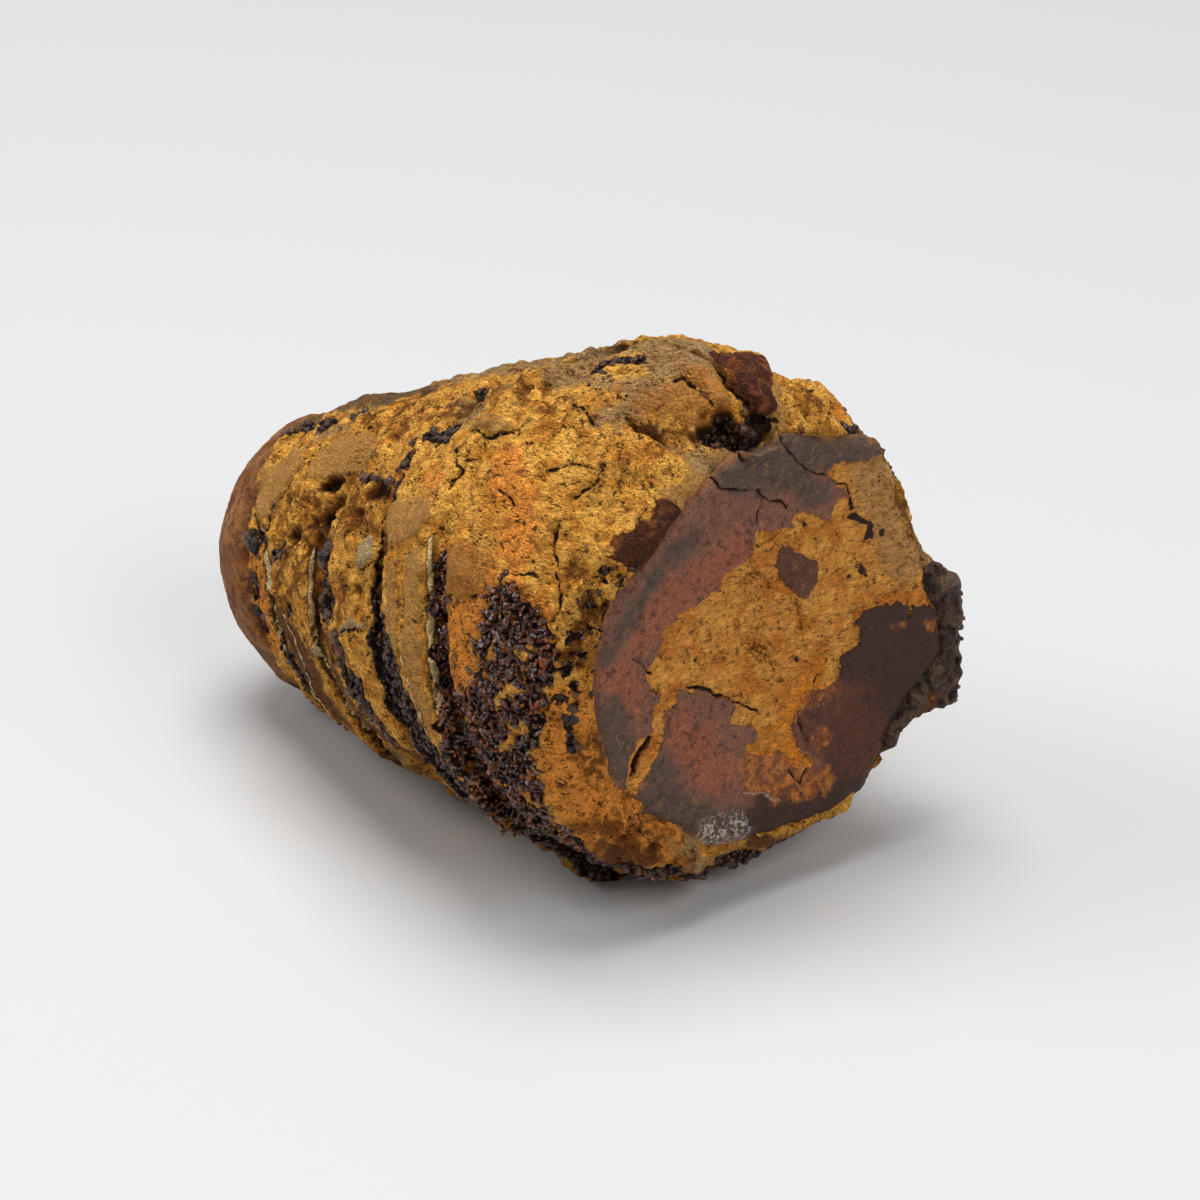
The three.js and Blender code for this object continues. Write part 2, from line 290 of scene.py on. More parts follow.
def laid_out(path):
    """A path's places in mm, on the wall laid flat or in space.

    Two numbers are a place on the wall: along it, and its angle, with 0 on the far side, 90 on
    top and 180 on the near side. Three are one on the broken face: across, up and out of it.
    """
    if len(path[0]) == 2:
        return unrolled(*np.transpose(path))
    return np.array([
        corner + FACE_CENTRE + np.array([out, across, up]) @ face_rows for across, up, out in path
    ])


def off_line(places, start, end):
    """How far, and which way, each place is from the nearest point of a straight stretch."""
    line = end - start
    part = np.clip((places - start) @ line / max(line @ line, 1e-9), 0, 1)
    return places - start - part[:, None] * line


def stretches(path):
    """The starts and ends of a path's straight stretches. A single place is its own end."""
    return zip(path, path[1:] if len(path) > 1 else path)


def inside(flat, outline):
    """How many mm each place on a plane is inside an outline, below 0 outside it."""
    corners = np.array(outline, float)
    nearest = np.full(len(flat), NOT_NEAR)
    crossings = np.zeros(len(flat), int)
    for start, end in zip(corners, np.roll(corners, -1, axis=0)):
        nearest = np.minimum(nearest, np.linalg.norm(off_line(flat, start, end), axis=1))
        spans = (start[1] > flat[:, 1]) != (end[1] > flat[:, 1])
        if start[1] != end[1]:
            meets = start[0] + (flat[:, 1] - start[1]) * (end[0] - start[0]) / (end[1] - start[1])
            crossings += spans & (flat[:, 0] < meets)
    return np.where(crossings % 2 == 1, nearest, -nearest)


def most(*values):
    """The largest of some values at each vertex."""
    return np.maximum.reduce(values)


def least(*values):
    """The smallest of some values at each vertex."""
    return np.minimum.reduce(values)


def lattice(cell, seed):
    """A repeatable number from 0 to 1 for each whole-number cell of space."""
    x, y, z = (cell[:, i].astype(np.uint32) for i in range(3))
    mixed = x * np.uint32(374761393) + y * np.uint32(668265263) + z * np.uint32(2147483629)
    mixed = mixed + np.uint32(seed * 974634777 % 2**32)
    mixed = (mixed ^ (mixed >> np.uint32(13))) * np.uint32(1274126177)
    mixed = (mixed ^ (mixed >> np.uint32(16))) * np.uint32(2246822519)
    return (mixed ^ (mixed >> np.uint32(15))) / 4294967295.0


def noise(places, size, seed):
    """Smooth noise from about -1 to 1, whose lumps are about size mm across."""
    cell = np.floor(places / size).astype(np.int64)
    part = places / size - cell
    ease = part**3 * (part * (part * 6 - 15) + 10)
    total = np.zeros(len(places))
    for step in itertools.product((0, 1), repeat=3):
        share = np.prod(np.where(step, ease, 1 - ease), axis=1)
        slopes = np.stack([lattice(cell + step, seed * 3 + i) for i in range(3)], axis=1) * 2 - 1
        total += share * np.sum(slopes * (part - step), axis=1)
    return total * 1.5


def pocks(places, size, share, seed):
    """Round pocks: 1 in the middle of a random share of cells, 0 a third of a cell away."""
    cell = np.floor(places / size).astype(np.int64)
    deepest = np.zeros(len(places))
    for step in itertools.product((-1, 0, 1), repeat=3):
        other = cell + step
        middle = np.stack([lattice(other, seed * 5 + i) for i in range(3)], axis=1)
        gap = np.linalg.norm(places / size - other - middle, axis=1)
        there = lattice(other, seed * 5 + 3) < share
        reach = 0.2 + 0.25 * lattice(other, seed * 5 + 4)
        deepest = np.maximum(deepest, there * np.clip(1 - gap / reach, 0, 1))
    return deepest


def smooth(value, low, high):
    """0 up to low and 1 from high on, with a soft rise between."""
    part = np.clip((value - low) / (high - low), 0, 1)
    return part * part * (3 - 2 * part)


def unrolled(along, angle):
    """The wall laid flat, in mm: along the axis, and round it."""
    along = np.asarray(along, float)
    radius = np.minimum(SMALL_RADIUS + TAPER * np.maximum(along, 0), WALL_RADIUS)
    return np.stack([along, np.radians(angle) * radius], axis=-1)


def at_angle(line, angle):
    """What a line round the fossil or the broken face says at some angles."""
    angles = sorted(line)
    return np.interp(angle, angles, [line[each] for each in angles], period=360)


def triples(items, name, kind=np.float32):
    """What a mesh holds three numbers of for each of its items."""
    numbers = np.empty(len(items) * 3, kind)
    items.foreach_get(name, numbers)
    return numbers.reshape(-1, 3)


class Surface:
    """A mesh's vertices in millimetres, with their places along, round and on the face."""

    def __init__(self, piece):
        self.piece = piece
        self.read()
        local = (self.places - corner - AXIS_START) @ axis_rows.T
        self.along = local[:, 0]
        sideways = local[:, 1] - AXIS_DRIFT * self.along - AXIS_BEND * self.along**2
        upwards = local[:, 2] / HEIGHT_TO_WIDTH
        self.angle = np.degrees(np.arctan2(upwards, sideways)) % 360
        self.out, self.across, self.up = ((self.places - corner - FACE_CENTRE) @ face_rows.T).T
        self.from_middle = np.hypot(self.across, self.up)
        self.laid_flat = unrolled(self.along, self.angle)
        self.wander = np.stack([
            0.3 * self.noise(1.3, 60 + i) + 0.14 * self.noise(0.5, 70 + i) for i in range(3)
        ], axis=1)

    def read(self):
        mesh = self.piece.data
        mesh.calc_loop_triangles()
        self.places = triples(mesh.vertices, "co").astype(float) / MM
        self.normals = triples(mesh.vertex_normals, "vector").astype(float)
        self.corners = triples(mesh.loop_triangles, "vertices", np.int32)

    def noise(self, size, seed, squeeze=1):
        return noise(self.places * squeeze, size, seed)

    def pocks(self, size, share, seed):
        return pocks(self.places, size, share, seed)

    def within(self, path, width, wander=1.0):
        """How many mm each vertex is inside a stroke of some half-width, below 0 outside it."""
        on_the_wall = len(path[0]) == 2
        path = laid_out(path)
        whole = self.laid_flat if on_the_wall else self.places
        whole = whole + wander * self.wander[:, :path.shape[1]]
        middle = (path.min(axis=0) + path.max(axis=0)) / 2
        far = np.linalg.norm(path - middle, axis=1).max() + width - FAR_OUTSIDE
        near = np.linalg.norm(whole - middle, axis=1) < far
        places, normals = whole[near], self.normals[near]
        nearest = np.full(len(places), NOT_NEAR)
        for start, end in stretches(path):
            gap = off_line(places, start, end)
            aside = np.sum(gap * gap, axis=1)
            if not on_the_wall:
                aside -= np.clip(np.sum(gap * normals, axis=1), -STROKE_DEPTH, STROKE_DEPTH) ** 2
            nearest = np.minimum(nearest, aside)
        result = np.full(len(whole), FAR_OUTSIDE)
        result[near] = np.maximum(width - np.sqrt(np.maximum(nearest, 0)), FAR_OUTSIDE)
        return result

    def any_of(self, strokes):
        """The most that each vertex is inside any of several strokes."""
        return most(*[self.within(path, width) for width, path in strokes])

    def around_face(self, rim):
        """A rim's radius at each vertex's angle on the broken face."""
        return at_angle(rim, np.degrees(np.arctan2(self.up, self.across)) % 360)

    def face_edge(self):
        """How far each vertex is inside the broken face's outline, in mm."""
        return self.around_face(FACE_RIM) - self.from_middle

    def over_dish(self):
        """How far each vertex is out of the hollow septum, in mm."""
        return self.out + FACE_DISH * (1 - (self.from_middle / FACE_RADIUS) ** 2)

    def raise_by(self, heights, shift=0.0):
        """Moves the vertices out along their normals, and none below the table."""
        moved = self.places + self.normals * heights[:, None] + shift
        moved[:, 2] = np.maximum(moved[:, 2], OFF_TABLE)
        self.piece.data.vertices.foreach_set("co", (moved * MM).astype(np.float32).ravel())
        self.piece.data.update()
        self.read()

    def thin_out(self):
        """Leaves only so many triangles, where the surface needs them."""
        share = min(1.0, MOST_TRIANGLES / len(self.corners))
        finish_with(self.piece, "DECIMATE", ratio=share)
        self.piece.data.shade_smooth()

    def keep(self, **fields):
        """Stores values at the vertices, for the material to read."""
        for name, values in fields.items():
            layer = self.piece.data.attributes.new(name, "FLOAT", "POINT")
            layer.data.foreach_set("value", values.astype(np.float32))


def only(piece):
    """Makes a piece the one that the next operator works on."""
    bpy.ops.object.select_all(action="DESELECT")
    piece.select_set(True)
    bpy.context.view_layer.objects.active = piece


def finish_with(piece, kind, **settings):
    """Adds a modifier to a piece and applies it."""
    modifier = piece.modifiers.new(kind.lower(), kind)
    for name, setting in settings.items():
        setattr(modifier, name, setting)
    only(piece)
    bpy.ops.object.modifier_apply(modifier=modifier.name)


def cast_of_frame(name):
    """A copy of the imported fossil, merged and rounded, as the start of a piece."""
    made = bpy.data.objects.new(name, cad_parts["fossil"].data.copy())
    bpy.context.scene.collection.objects.link(made)
    made.data.materials.clear()
    only(made)
    bpy.ops.object.mode_set(mode="EDIT")
    bpy.ops.mesh.select_all(action="SELECT")
    bpy.ops.mesh.remove_doubles(threshold=0.002 * MM)
    bpy.ops.object.mode_set(mode="OBJECT")
    finish_with(made, "SUBSURF", levels=2, render_levels=2)
    return made


body = cast_of_frame("fossil_body")
finish_with(body, "REMESH", mode="VOXEL", voxel_size=BODY_VOXEL * MM)
rough = Surface(body)
outer_ledge = np.exp(-(((rough.out - LEDGE_OUT) / LEDGE_SPREAD) ** 2))
outer_ledge = outer_ledge * smooth(rough.from_middle, 10.5, 12.5)
radius = rough.from_middle + 0.01  # never 0, to divide by
juts = np.maximum(rough.around_face(LEDGE_RIM) + 0.2 - radius, 0) * outer_ledge / radius
juts = juts[:, None] * (rough.across[:, None] * face_rows[1] + rough.up[:, None] * face_rows[2])
rough.raise_by(np.zeros(len(radius)), juts)
finish_with(body, "REMESH", mode="VOXEL", voxel_size=BODY_VOXEL * MM)
finish_with(body, "SMOOTH", factor=0.5, iterations=BODY_SMOOTHING)
skin = Surface(body)


def on_wall(*outlines):
    """How many mm each vertex is inside any of some outlines drawn on the wall."""
    laid_flat = skin.laid_flat + skin.wander[:, :2]
    return most(*[inside(laid_flat, laid_out(outline)) for outline in outlines])


# Where each septum met the wall: its place along the axis at angles round it.
SUTURE_LINES = [
    {110: -0.8, 132: -0.4, 146: 0, 152: 1.4, 158: 2.9, 165: 3.6, 176: 4.5, 192: 4.6, 203: 5.6,
     220: 5, 250: 2.5, 300: 0.4, 360: -0.5},
    {60: 12.2, 100: 12, 130: 11.3, 150: 10.7, 168: 10.9, 190: 11.1, 202: 12.4, 215: 12.4,
     260: 11.6, 320: 12},
    {60: 20.6, 100: 20.6, 133: 19.8, 147: 19.4, 168: 19.5, 175: 20, 181: 20.9, 188: 22,
     195: 23.2, 203: 24.2, 212: 24.6, 225: 24.6, 260: 22.5, 300: 20.8},
    {60: 27.4, 94: 27.2, 130: 26.9, 155: 26.6, 172: 26.9, 189: 27.2, 204: 27.5, 214: 27.9, 270: 27},
]
# Where the dome of the smallest septum ends, in the same way.
DOME_EDGE = {
    0: -1.8, 60: -1.6, 105: -1.4, 120: -1, 132: -0.3, 150: -0.1, 165: 0, 178: -0.4, 191: 0,
    202: 0.8, 215: 0.2, 260: -0.8, 310: -1.6,
}
# Pale edges of septa and shards of shell that stand out of the filling.
EDGES = [
    [(2.3, 153), (3.3, 158), (3.8, 166), (4.7, 176), (4.7, 192), (6, 203), (8, 210)],
    [(10.5, 157), (10.7, 167), (10.9, 178), (11, 186), (12.2, 196), (12.6, 213)],
    [(26.5, 150), (26.7, 168), (26.9, 178), (27.1, 187), (27.6, 196), (27.9, 206), (28, 216)],
    [(6.6, 180), (7.6, 190), (8.2, 206)],
    [(24.6, 176), (25.6, 184), (26.2, 196)],
]
SHARDS = [
    [(16.9, 155), (17.4, 152.6), (18.8, 151), (19.4, 156.5), (17.4, 160.6)],
    [(15.4, 176.4), (17.4, 172.8), (19.4, 171.8), (19.4, 173.2), (17.4, 174.6), (16, 177.2)],
]

# The big druse patch low on the last chamber, and its arm along the last suture.
DRUSE_PATCH = [
    (33, 158), (33.7, 156), (34.4, 159), (35, 162), (35.8, 164), (36.2, 168), (36.5, 173),
    (35.8, 178), (35.1, 180), (35.3, 184), (35.1, 190), (34.2, 193), (33.5, 200), (33.5, 206),
    (32.7, 213), (33, 218), (32.2, 226), (33.4, 231), (34.4, 240), (33, 252), (29, 250),
    (27.6, 236), (27.2, 226), (27.3, 212), (27.1, 200), (27.1, 191), (26.9, 181), (26.8, 174),
    (26.7, 160), (26.6, 152), (27.6, 151), (27.8, 160), (27.4, 166), (28.2, 172), (28.4, 176),
    (28, 180), (28.4, 184), (30.2, 180), (30.6, 175), (31.2, 170), (31.2, 166), (31.9, 164),
    (32.6, 160),
]
# Ochre that shows through it: (half-width, path).
OCHRE_IN_PATCH = [
    (0.4, [(32.2, 170.5), (32, 176)]),
    (0.5, [(31.8, 184.6), (33.1, 181), (34.4, 179)]),
    (0.5, [(33.6, 188), (32.8, 190.5), (31.4, 195)]),
    (0.4, [(29.3, 187), (28.4, 191)]),
    (0.3, [(30.2, 204), (28.6, 212)]),
    (0.5, [(27.8, 218), (28.6, 224)]),
    (0.4, [(31.6, 204), (32.4, 209)]),
    (0.5, [(35, 170), (34.6, 174)]),
]
# Black crusts in grooves and pits.
BLACK_BANDS = [
    [(19.4, 166), (19.5, 175), (19.6, 187), (19.9, 195), (20.8, 200), (22.8, 204), (24, 211),
     (23.6, 226), (24, 240), (27.6, 240), (27.4, 226), (27.5, 206), (27, 198), (25.9, 193),
     (25, 189), (24.3, 183), (23.5, 175), (22.2, 171), (21.6, 167), (20.2, 164)],
    [(12.4, 154.5), (14, 154.5), (14.2, 163), (14.6, 172), (13.9, 176), (12.6, 174), (12.1, 164)],
    [(0.6, 160), (2.2, 154), (3.1, 158.5), (2.6, 165), (1.2, 164)],
    [(0.8, 170.5), (2.4, 170), (1.6, 176), (0.6, 182), (-0.6, 182), (-0.1, 175)],
    [(-0.3, 187), (1.6, 184), (2.6, 190), (2.4, 198), (0.2, 197)],
    [(-2, 116), (-0.6, 112.4), (0.4, 110.4), (2.4, 109.4), (2.6, 111.6), (0.6, 112.6), (-1.2, 116)],
    [(3, 111), (5.4, 112.4), (5, 118), (4.2, 120.5), (3.2, 116)],
    [(36.9, 101), (37.4, 97), (37.8, 93), (37.8, 89), (38.2, 86.5), (38.7, 85), (38.8, 91),
     (38.4, 97), (37.7, 101.5), (37, 103)],
]
DRUSE = [
    (0.4, [(4.6, 162.5), (6.4, 159.5)]),
    (0.4, [(7.6, 174), (7.4, 178)]),
    (0.3, [(13.7, 135)]),
    (0.22, [(14.9, 130)]),
    (0.22, [(15.5, 127)]),
    (0.35, [(19.4, 127)]),
    (0.5, [(20.4, 124), (21.9, 123), (22.8, 123.5), (22.5, 127)]),
    (0.3, [(19.8, 130), (19.6, 134)]),
    (0.25, [(20.2, 138), (19.8, 143)]),
    (0.5, [(14.9, 178), (15.4, 182), (15.3, 187)]),
    (0.55, [(15.8, 190), (16.8, 194), (17.6, 200), (18.4, 210)]),
    (0.5, [(4.4, 196), (6.4, 206)]),
    (0.35, [(20.4, 108), (22.6, 111)]),
    (0.45, [(30.2, 101.5), (31.2, 100), (32.4, 98)]),
    (0.3, [(30.2, 103.4), (31.4, 104)]),
    (0.22, [(31.1, 108)]),
    (0.4, [(34.8, 178.4), (35.8, 178)]),
    (1, [(26.5, 221), (29, 228), (32, 235), (34, 246)]),
    (0.35, [(-15.6, -0.3, -0.6), (-15.4, -2.6, -0.6)]),
    (0.7, [(37, 58), (38, 55), (38, 49)]),
    (1.4, [(13.6, 1.4, -3.4), (14.4, -2.6, -3.4), (14.2, -7, -3.4), (11.6, -9.8, -3.4)]),
    (0.8, [(10.6, -11.2, -2.4), (7, -13.6, -2.4)]),
    (1.1, [(-11.4, -12.2, -1.8), (-7.4, -14.2, -1.6), (-2, -15, -1.6), (3.4, -14.8, -1.6)]),
]
# Filling so full of small pits that crust and filling make a web.
WEBS = [
    [(36.1, 168), (37.5, 165.5), (37.5, 173), (37.1, 182), (36.4, 185), (35.4, 180), (35.9, 175)],
    [(37.4, 157), (38.1, 149.6), (38.5, 146.6), (38.6, 157), (38, 165), (37.8, 171), (37.2, 163)],
]

# Orange rust, pale tan filling, grey-brown weathering and brown stains.
RUSTY = [
    [(31.7, 154), (32.4, 153), (32.8, 157), (32.4, 161), (31.9, 164), (31.2, 166), (31.2, 170),
     (30.6, 175), (30.3, 179), (28.4, 183), (28, 180), (28.4, 176), (28.2, 172), (27.5, 167),
     (28, 163), (29.9, 162.4), (31.1, 160.4), (31.6, 157)],
    [(34, 194), (34.8, 191), (35.6, 189), (36.2, 185), (37.4, 182), (37.5, 200), (37.4, 216),
     (37, 234), (36.6, 250), (35, 250), (34.6, 235), (33.2, 227), (33.2, 215), (33.4, 208),
     (33.8, 200)],
    [(22.2, 133.4), (26.3, 137), (26, 141.4), (22.6, 138.6)],
    [(0.2, 153), (3, 154), (3.6, 166), (4.4, 178), (4.4, 192), (2.4, 200), (0.6, 198), (-0.2, 180)],
]
RUST = [
    (1.3, [(30, 131), (31.4, 137), (32.6, 141), (33.2, 148)]),
    (0.8, [(33.4, 150), (34.4, 158), (35.6, 161)]),
    (0.7, [(34.9, 94), (35.6, 93)]),
    (1.3, [(-15.4, 0.8, -0.8), (-14.9, -3.4, -0.6), (-13.4, -6.6, -0.5), (-11, -9.6, -0.4)]),
    (1.1, [(-11, -9.6, -0.6), (-7.4, -12.4, -0.6)]),
    (0.9, [(11.8, 158), (11.9, 170), (11.8, 182)]),
]
TAN_PLATES = [
    [(-0.4, 131.5), (1, 127.5), (3, 124.4), (4.6, 126.4), (6.2, 132), (4.6, 140), (4.2, 146),
     (3.4, 151.6), (1.8, 151), (-0.2, 145)],
    [(6.8, 133), (7, 126), (8.2, 119.4), (11.9, 121.4), (15.2, 129), (13.7, 133), (8.8, 135.4),
     (6.8, 137)],
    [(19.9, 143), (23.6, 141), (26.2, 143), (26.3, 147), (25.5, 150), (21.8, 152.6), (19.9, 148)],
    [(24.4, 154), (26.2, 152), (26.2, 160), (26.4, 170), (26.6, 182), (26.9, 194), (25.8, 186),
     (25, 172)],
    [(25.4, 124.6), (27.2, 121.6), (29.2, 123), (28, 126.4)],
]
TAN = [
    (0.5, [(38.6, 97), (38.5, 106), (38.7, 116), (38.6, 124)]),
    (0.45, [(35, 72), (36.9, 75.6), (37.9, 77.6), (38.6, 80)]),
    (0.35, [(38.7, 92), (39, 82)]),
    (0.8, [(34.2, 86), (35, 88), (36.4, 92)]),
    (0.4, [(-6.6, -12.9, -0.6), (-3.5, -13.8, -0.6), (-0.3, -14, -0.6), (2.4, -13.8, -0.6)]),
    (0.5, [(22.6, 158), (23.2, 166), (24, 174)]),
]
GREY = [
    (2.6, [(2, 86), (12, 88), (20, 92), (27, 92)]),
    (2.4, [(28.6, 94), (31, 90), (33.6, 93)]),
    (0.8, [(19.4, 110), (20.6, 112), (24, 119.6)]),
    (1, [(26, 108), (28.9, 106.6), (32.3, 108), (34.6, 105)]),
    (0.7, [(34.6, 114), (35, 108), (34.8, 104)]),
    (0.6, [(5.4, 121), (6.6, 119)]),
    (0.8, [(5.6, 106), (8.4, 112)]),
    (0.8, [(37.6, 105.6), (38, 108)]),
]
SLATE = [
    [(-4.6, 119), (-2.4, 117), (-0.6, 112.6), (1.5, 110), (3.2, 109), (6, 107.4), (9, 106),
     (13, 104), (12, 96), (6, 92), (0, 92), (-4.8, 100)],
]
STAINED = [
    [(4.9, 177), (7.8, 180), (9.6, 188), (10.4, 200), (12, 216), (6, 216), (6, 199), (5.2, 188)],
    [(12.9, 175), (14.4, 182), (15, 190), (17, 200), (20, 216), (13.8, 216), (13.4, 200),
     (12, 190)],
    [(18.6, 200), (21.6, 203), (23.6, 216), (19, 216)],
    [(35.7, 112), (35.9, 109), (36.4, 104), (36.7, 101.6), (36.9, 105), (36.6, 110), (36.2, 115)],
]
# A smooth brown lobe on the top, and plates of red-brown hematite.
LOBES = [
    [(35, 108), (35.2, 97), (35.4, 91.4), (35.9, 90), (36.8, 90), (37.5, 90.6), (37.8, 93), (37.6, 96),
     (36.9, 100.5), (36.4, 104.5), (35.8, 109), (35.3, 111)],
    [(28, 151.4), (29.8, 149.6), (31.4, 150.4), (32.2, 153), (31.6, 156), (31.1, 160),
     (29.9, 162), (28.3, 161.6), (27.9, 157)],
]
RED_PLATES = [
    [(34.7, 84), (33.2, 72), (33.9, 66), (35.6, 70), (37, 76), (37.9, 79), (38.3, 81), (38.4, 83.6),
     (38.1, 87), (37.4, 88.6), (36.4, 87.4), (35.7, 86.4), (35, 86.6)],
    [(37.9, 146), (38, 141), (38.1, 134), (38.1, 129), (38.3, 125), (39.2, 124), (39.4, 134),
     (39.2, 146), (38.6, 148.5)],
]
PITS_CROWDED = [
    [(4.8, 142), (8, 137), (14, 134.6), (18.6, 139), (18.7, 150), (16.6, 151), (16.4, 162),
     (14.6, 153), (12, 153), (10.4, 157), (10.2, 172), (9, 180), (6, 178), (5, 166), (4.6, 154)],
    [(14.8, 156), (17, 162), (18.8, 160), (18.6, 170), (15.2, 175)],
    [(39, 74), (37.2, 70), (35.4, 54), (38.4, 57), (38.9, 60)],
]
PITTED = [
    (1.3, [(16, 124), (20, 116), (24, 112)]),
    (1.3, [(8.6, 113), (12.6, 114), (17, 118)]),
    (0.6, [(-13.6, -7.6, -1), (-10.8, -10.6, -1), (-7.6, -12.6, -1)]),
    (1.2, [(26.4, 115), (29, 115), (31.6, 118)]),
    (1, [(-14, 8.4, -1.2), (-13.8, 6.2, -0.8), (-14.6, 3.6, -0.6)]),
    (0.9, [(33.4, 164), (34, 160)]),
    (1.6, [(34.4, 220), (34.6, 232), (34.8, 242)]),
    (1, [(36.4, 196), (36.2, 206)]),
]
DEEP_PITS = [  # (half-width, depth, path)
    (0.34, 1, [(8.9, 137.6), (9.8, 136.8), (10.6, 136.6)]),
    (0.3, 0.6, [(10.4, 135.6)]),
    (0.4, 0.8, [(16.7, 139.4), (18.9, 141)]),
    (0.3, 0.5, [(15.6, 138)]),
    (0.35, 0.6, [(9.4, 149.5), (10.2, 151)]),
    (0.35, 0.6, [(7.2, 154.4), (7.9, 156)]),
    (0.3, 0.5, [(5.2, 144), (6, 146)]),
    (0.35, 0.6, [(15.6, 145), (16.5, 147)]),
    (0.35, 0.7, [(10.7, 146), (11.4, 148)]),
    (0.3, 0.5, [(10.2, 158), (10, 160)]),
    (0.3, 0.6, [(36, 113.4), (36.4, 110.8)]),
    (0.25, 0.5, [(36.9, 104.6), (37, 103.6)]),
    (0.42, 1.1, [(37.2, 101), (37.8, 96.5), (38.1, 93.6)]),
    (0.14, 0.9, [(34.4, 88.8), (35.5, 87.6), (36.4, 88), (37.4, 89), (38, 87), (38.5, 84)]),
    (0.3, 0.5, [(34.9, 178.4), (35.7, 178)]),
    (0.25, 0.4, [(37.5, 158), (37.1, 165), (36.8, 172)]),
]
# Lumps that stand out, and notches in the outline: (half-width, height, path).
LUMPS = [
    (0.8, 0.5, [(36, 105), (36.8, 98), (37.4, 92)]),
    (0.5, 0.35, [(35.3, 97), (35.8, 93), (36.8, 92.4)]),
    (0.7, 0.5, [(37.3, 103), (37.6, 104)]),
    (0.9, 0.4, [(36.4, 80), (37.8, 84)]),
    (0.7, 0.3, [(38.3, 145), (38.5, 135), (38.7, 125)]),
    (0.8, 0.15, [(26.6, 124), (28.2, 124)]),
    (1.1, 0.22, [(29.2, 153), (30.6, 156)]),
    (0.6, 0.4, [(6.4, 102), (7.6, 103)]),
    (2.1, -1, [(30, 55), (33, 57), (35.4, 60)]),
    (2.2, -0.9, [(17, 224), (24, 230), (29, 238), (31, 248)]),
    (1.6, -0.5, [(30, 226), (32, 236), (33.2, 250), (35, 264)]),
    (1.5, -0.7, [(34.6, 262), (34.8, 288)]),
    (1.8, -0.5, [(-5.5, 86), (2, 82), (8, 86)]),
    (1.6, -0.4, [(24, 84), (27.6, 88)]),
    (0.7, 0.4, [(35, 217), (35.2, 224)]),
    (0.8, -0.8, [(3.6, 16, -3.4), (4.6, 16, -5)]),
    (0.6, -0.6, [(7.4, 12.9, -1.6), (8, 13.2, -3.2)]),
    (0.6, 0.3, [(-5.2, -14.9, -1.2)]),
]
# Fine cracks and the edges of thin plates.
CRACKS = [
    [(7.2, 125), (5.9, 128), (5.5, 136), (4.8, 142), (3.6, 147), (3.3, 154), (2.4, 156)],
    [(24.7, 130), (27, 135), (26.9, 139)],
    [(36.1, 126), (36.1, 131), (35.6, 136)],
    [(35.3, 142), (35.4, 147), (35.7, 150), (36.4, 158), (36.2, 164)],
    [(30.8, 138), (32.1, 141)],
    [(32.8, 134), (33.6, 132), (35.6, 128)],
    [(31.9, 115), (34.8, 119)],
    [(28.2, 162.4), (29.9, 162.6), (31.2, 160.4)],
    [(33, 155.6), (34.2, 154.6), (35.1, 155)],
    [(16.8, 155), (17.4, 161), (19.4, 157), (19.4, 166)],
    [(15.4, 177), (17.3, 175.2), (19.3, 173.6)],
    [(25.4, 125), (27.4, 126.6), (29.3, 124)],
    [(19.9, 131), (19.8, 138), (19.5, 147), (19.5, 159), (19.4, 168)],
    [(38.6, 79), (38.5, 84), (38.1, 89)],
    [(34.5, 88.8), (35.5, 87.6), (36.4, 88), (37.4, 89), (38, 87)],
    [(35.4, 99), (36, 96), (37, 95.4)],
]


# How far each vertex is past the nearest suture, in mm, along the axis.
seam_wander = 0.3 * skin.noise(2.2, 5) + 0.12 * skin.noise(0.7, 6)
seam = np.full(len(skin.places), NOT_NEAR)
for line in SUTURE_LINES:
    gap = skin.along - at_angle(line, skin.angle) - seam_wander
    seam = np.where(np.abs(gap) < np.abs(seam), gap, seam)

# How far each vertex is inside each kind of mark, in mm, with its edges made ragged.
rough_edge = 0.7 * skin.noise(1.5, 18) + 0.35 * skin.noise(0.7, 19)
hidden = np.minimum(smooth(skin.angle, 205, 225) + (1 - smooth(skin.angle, 44, 62)), 1)
stepped = 0.25 + 0.35 * smooth(skin.angle, 135, 155) + 0.4 * smooth(skin.angle, 166, 184)
stepped += 0.4 * skin.noise(3.0, 34)
stepped += 0.25 * smooth(skin.along, 24, 26) * smooth(-skin.angle, -108, -98)
stepped = np.where(skin.angle < 80, 0.7 + 0.5 * skin.noise(3.0, 34), stepped)
patch = on_wall(DRUSE_PATCH) + 0.5 * skin.noise(1.3, 13) + 0.6 * skin.noise(0.7, 14)
patch = least(patch, 0.25 - skin.any_of(OCHRE_IN_PATCH) - 0.6 * skin.noise(0.6, 12))
black = on_wall(*BLACK_BANDS) + 0.35 * rough_edge
web = on_wall(*WEBS) + 0.3
webbed = smooth(web, -0.2, 0.3)
web = least(web, 1.2 * skin.noise(0.55, 17) - 0.25)
druse = most(skin.any_of(DRUSE) + 0.22 * skin.noise(0.8, 15), black, web, patch)
dome = at_angle(DOME_EDGE, skin.angle) - skin.along
dome = dome + 0.5 * skin.noise(1.6, 16) + 0.3 * skin.noise(0.6, 10)


def on_far_side(lump, share, seed):
    """Random ragged areas on the sides that no stroke describes."""
    wide = 3.5 * skin.noise(lump, seed) + skin.noise(lump / 3, seed + 1)
    return wide - share - 3 * (1 - hidden) + 0.6 * rough_edge


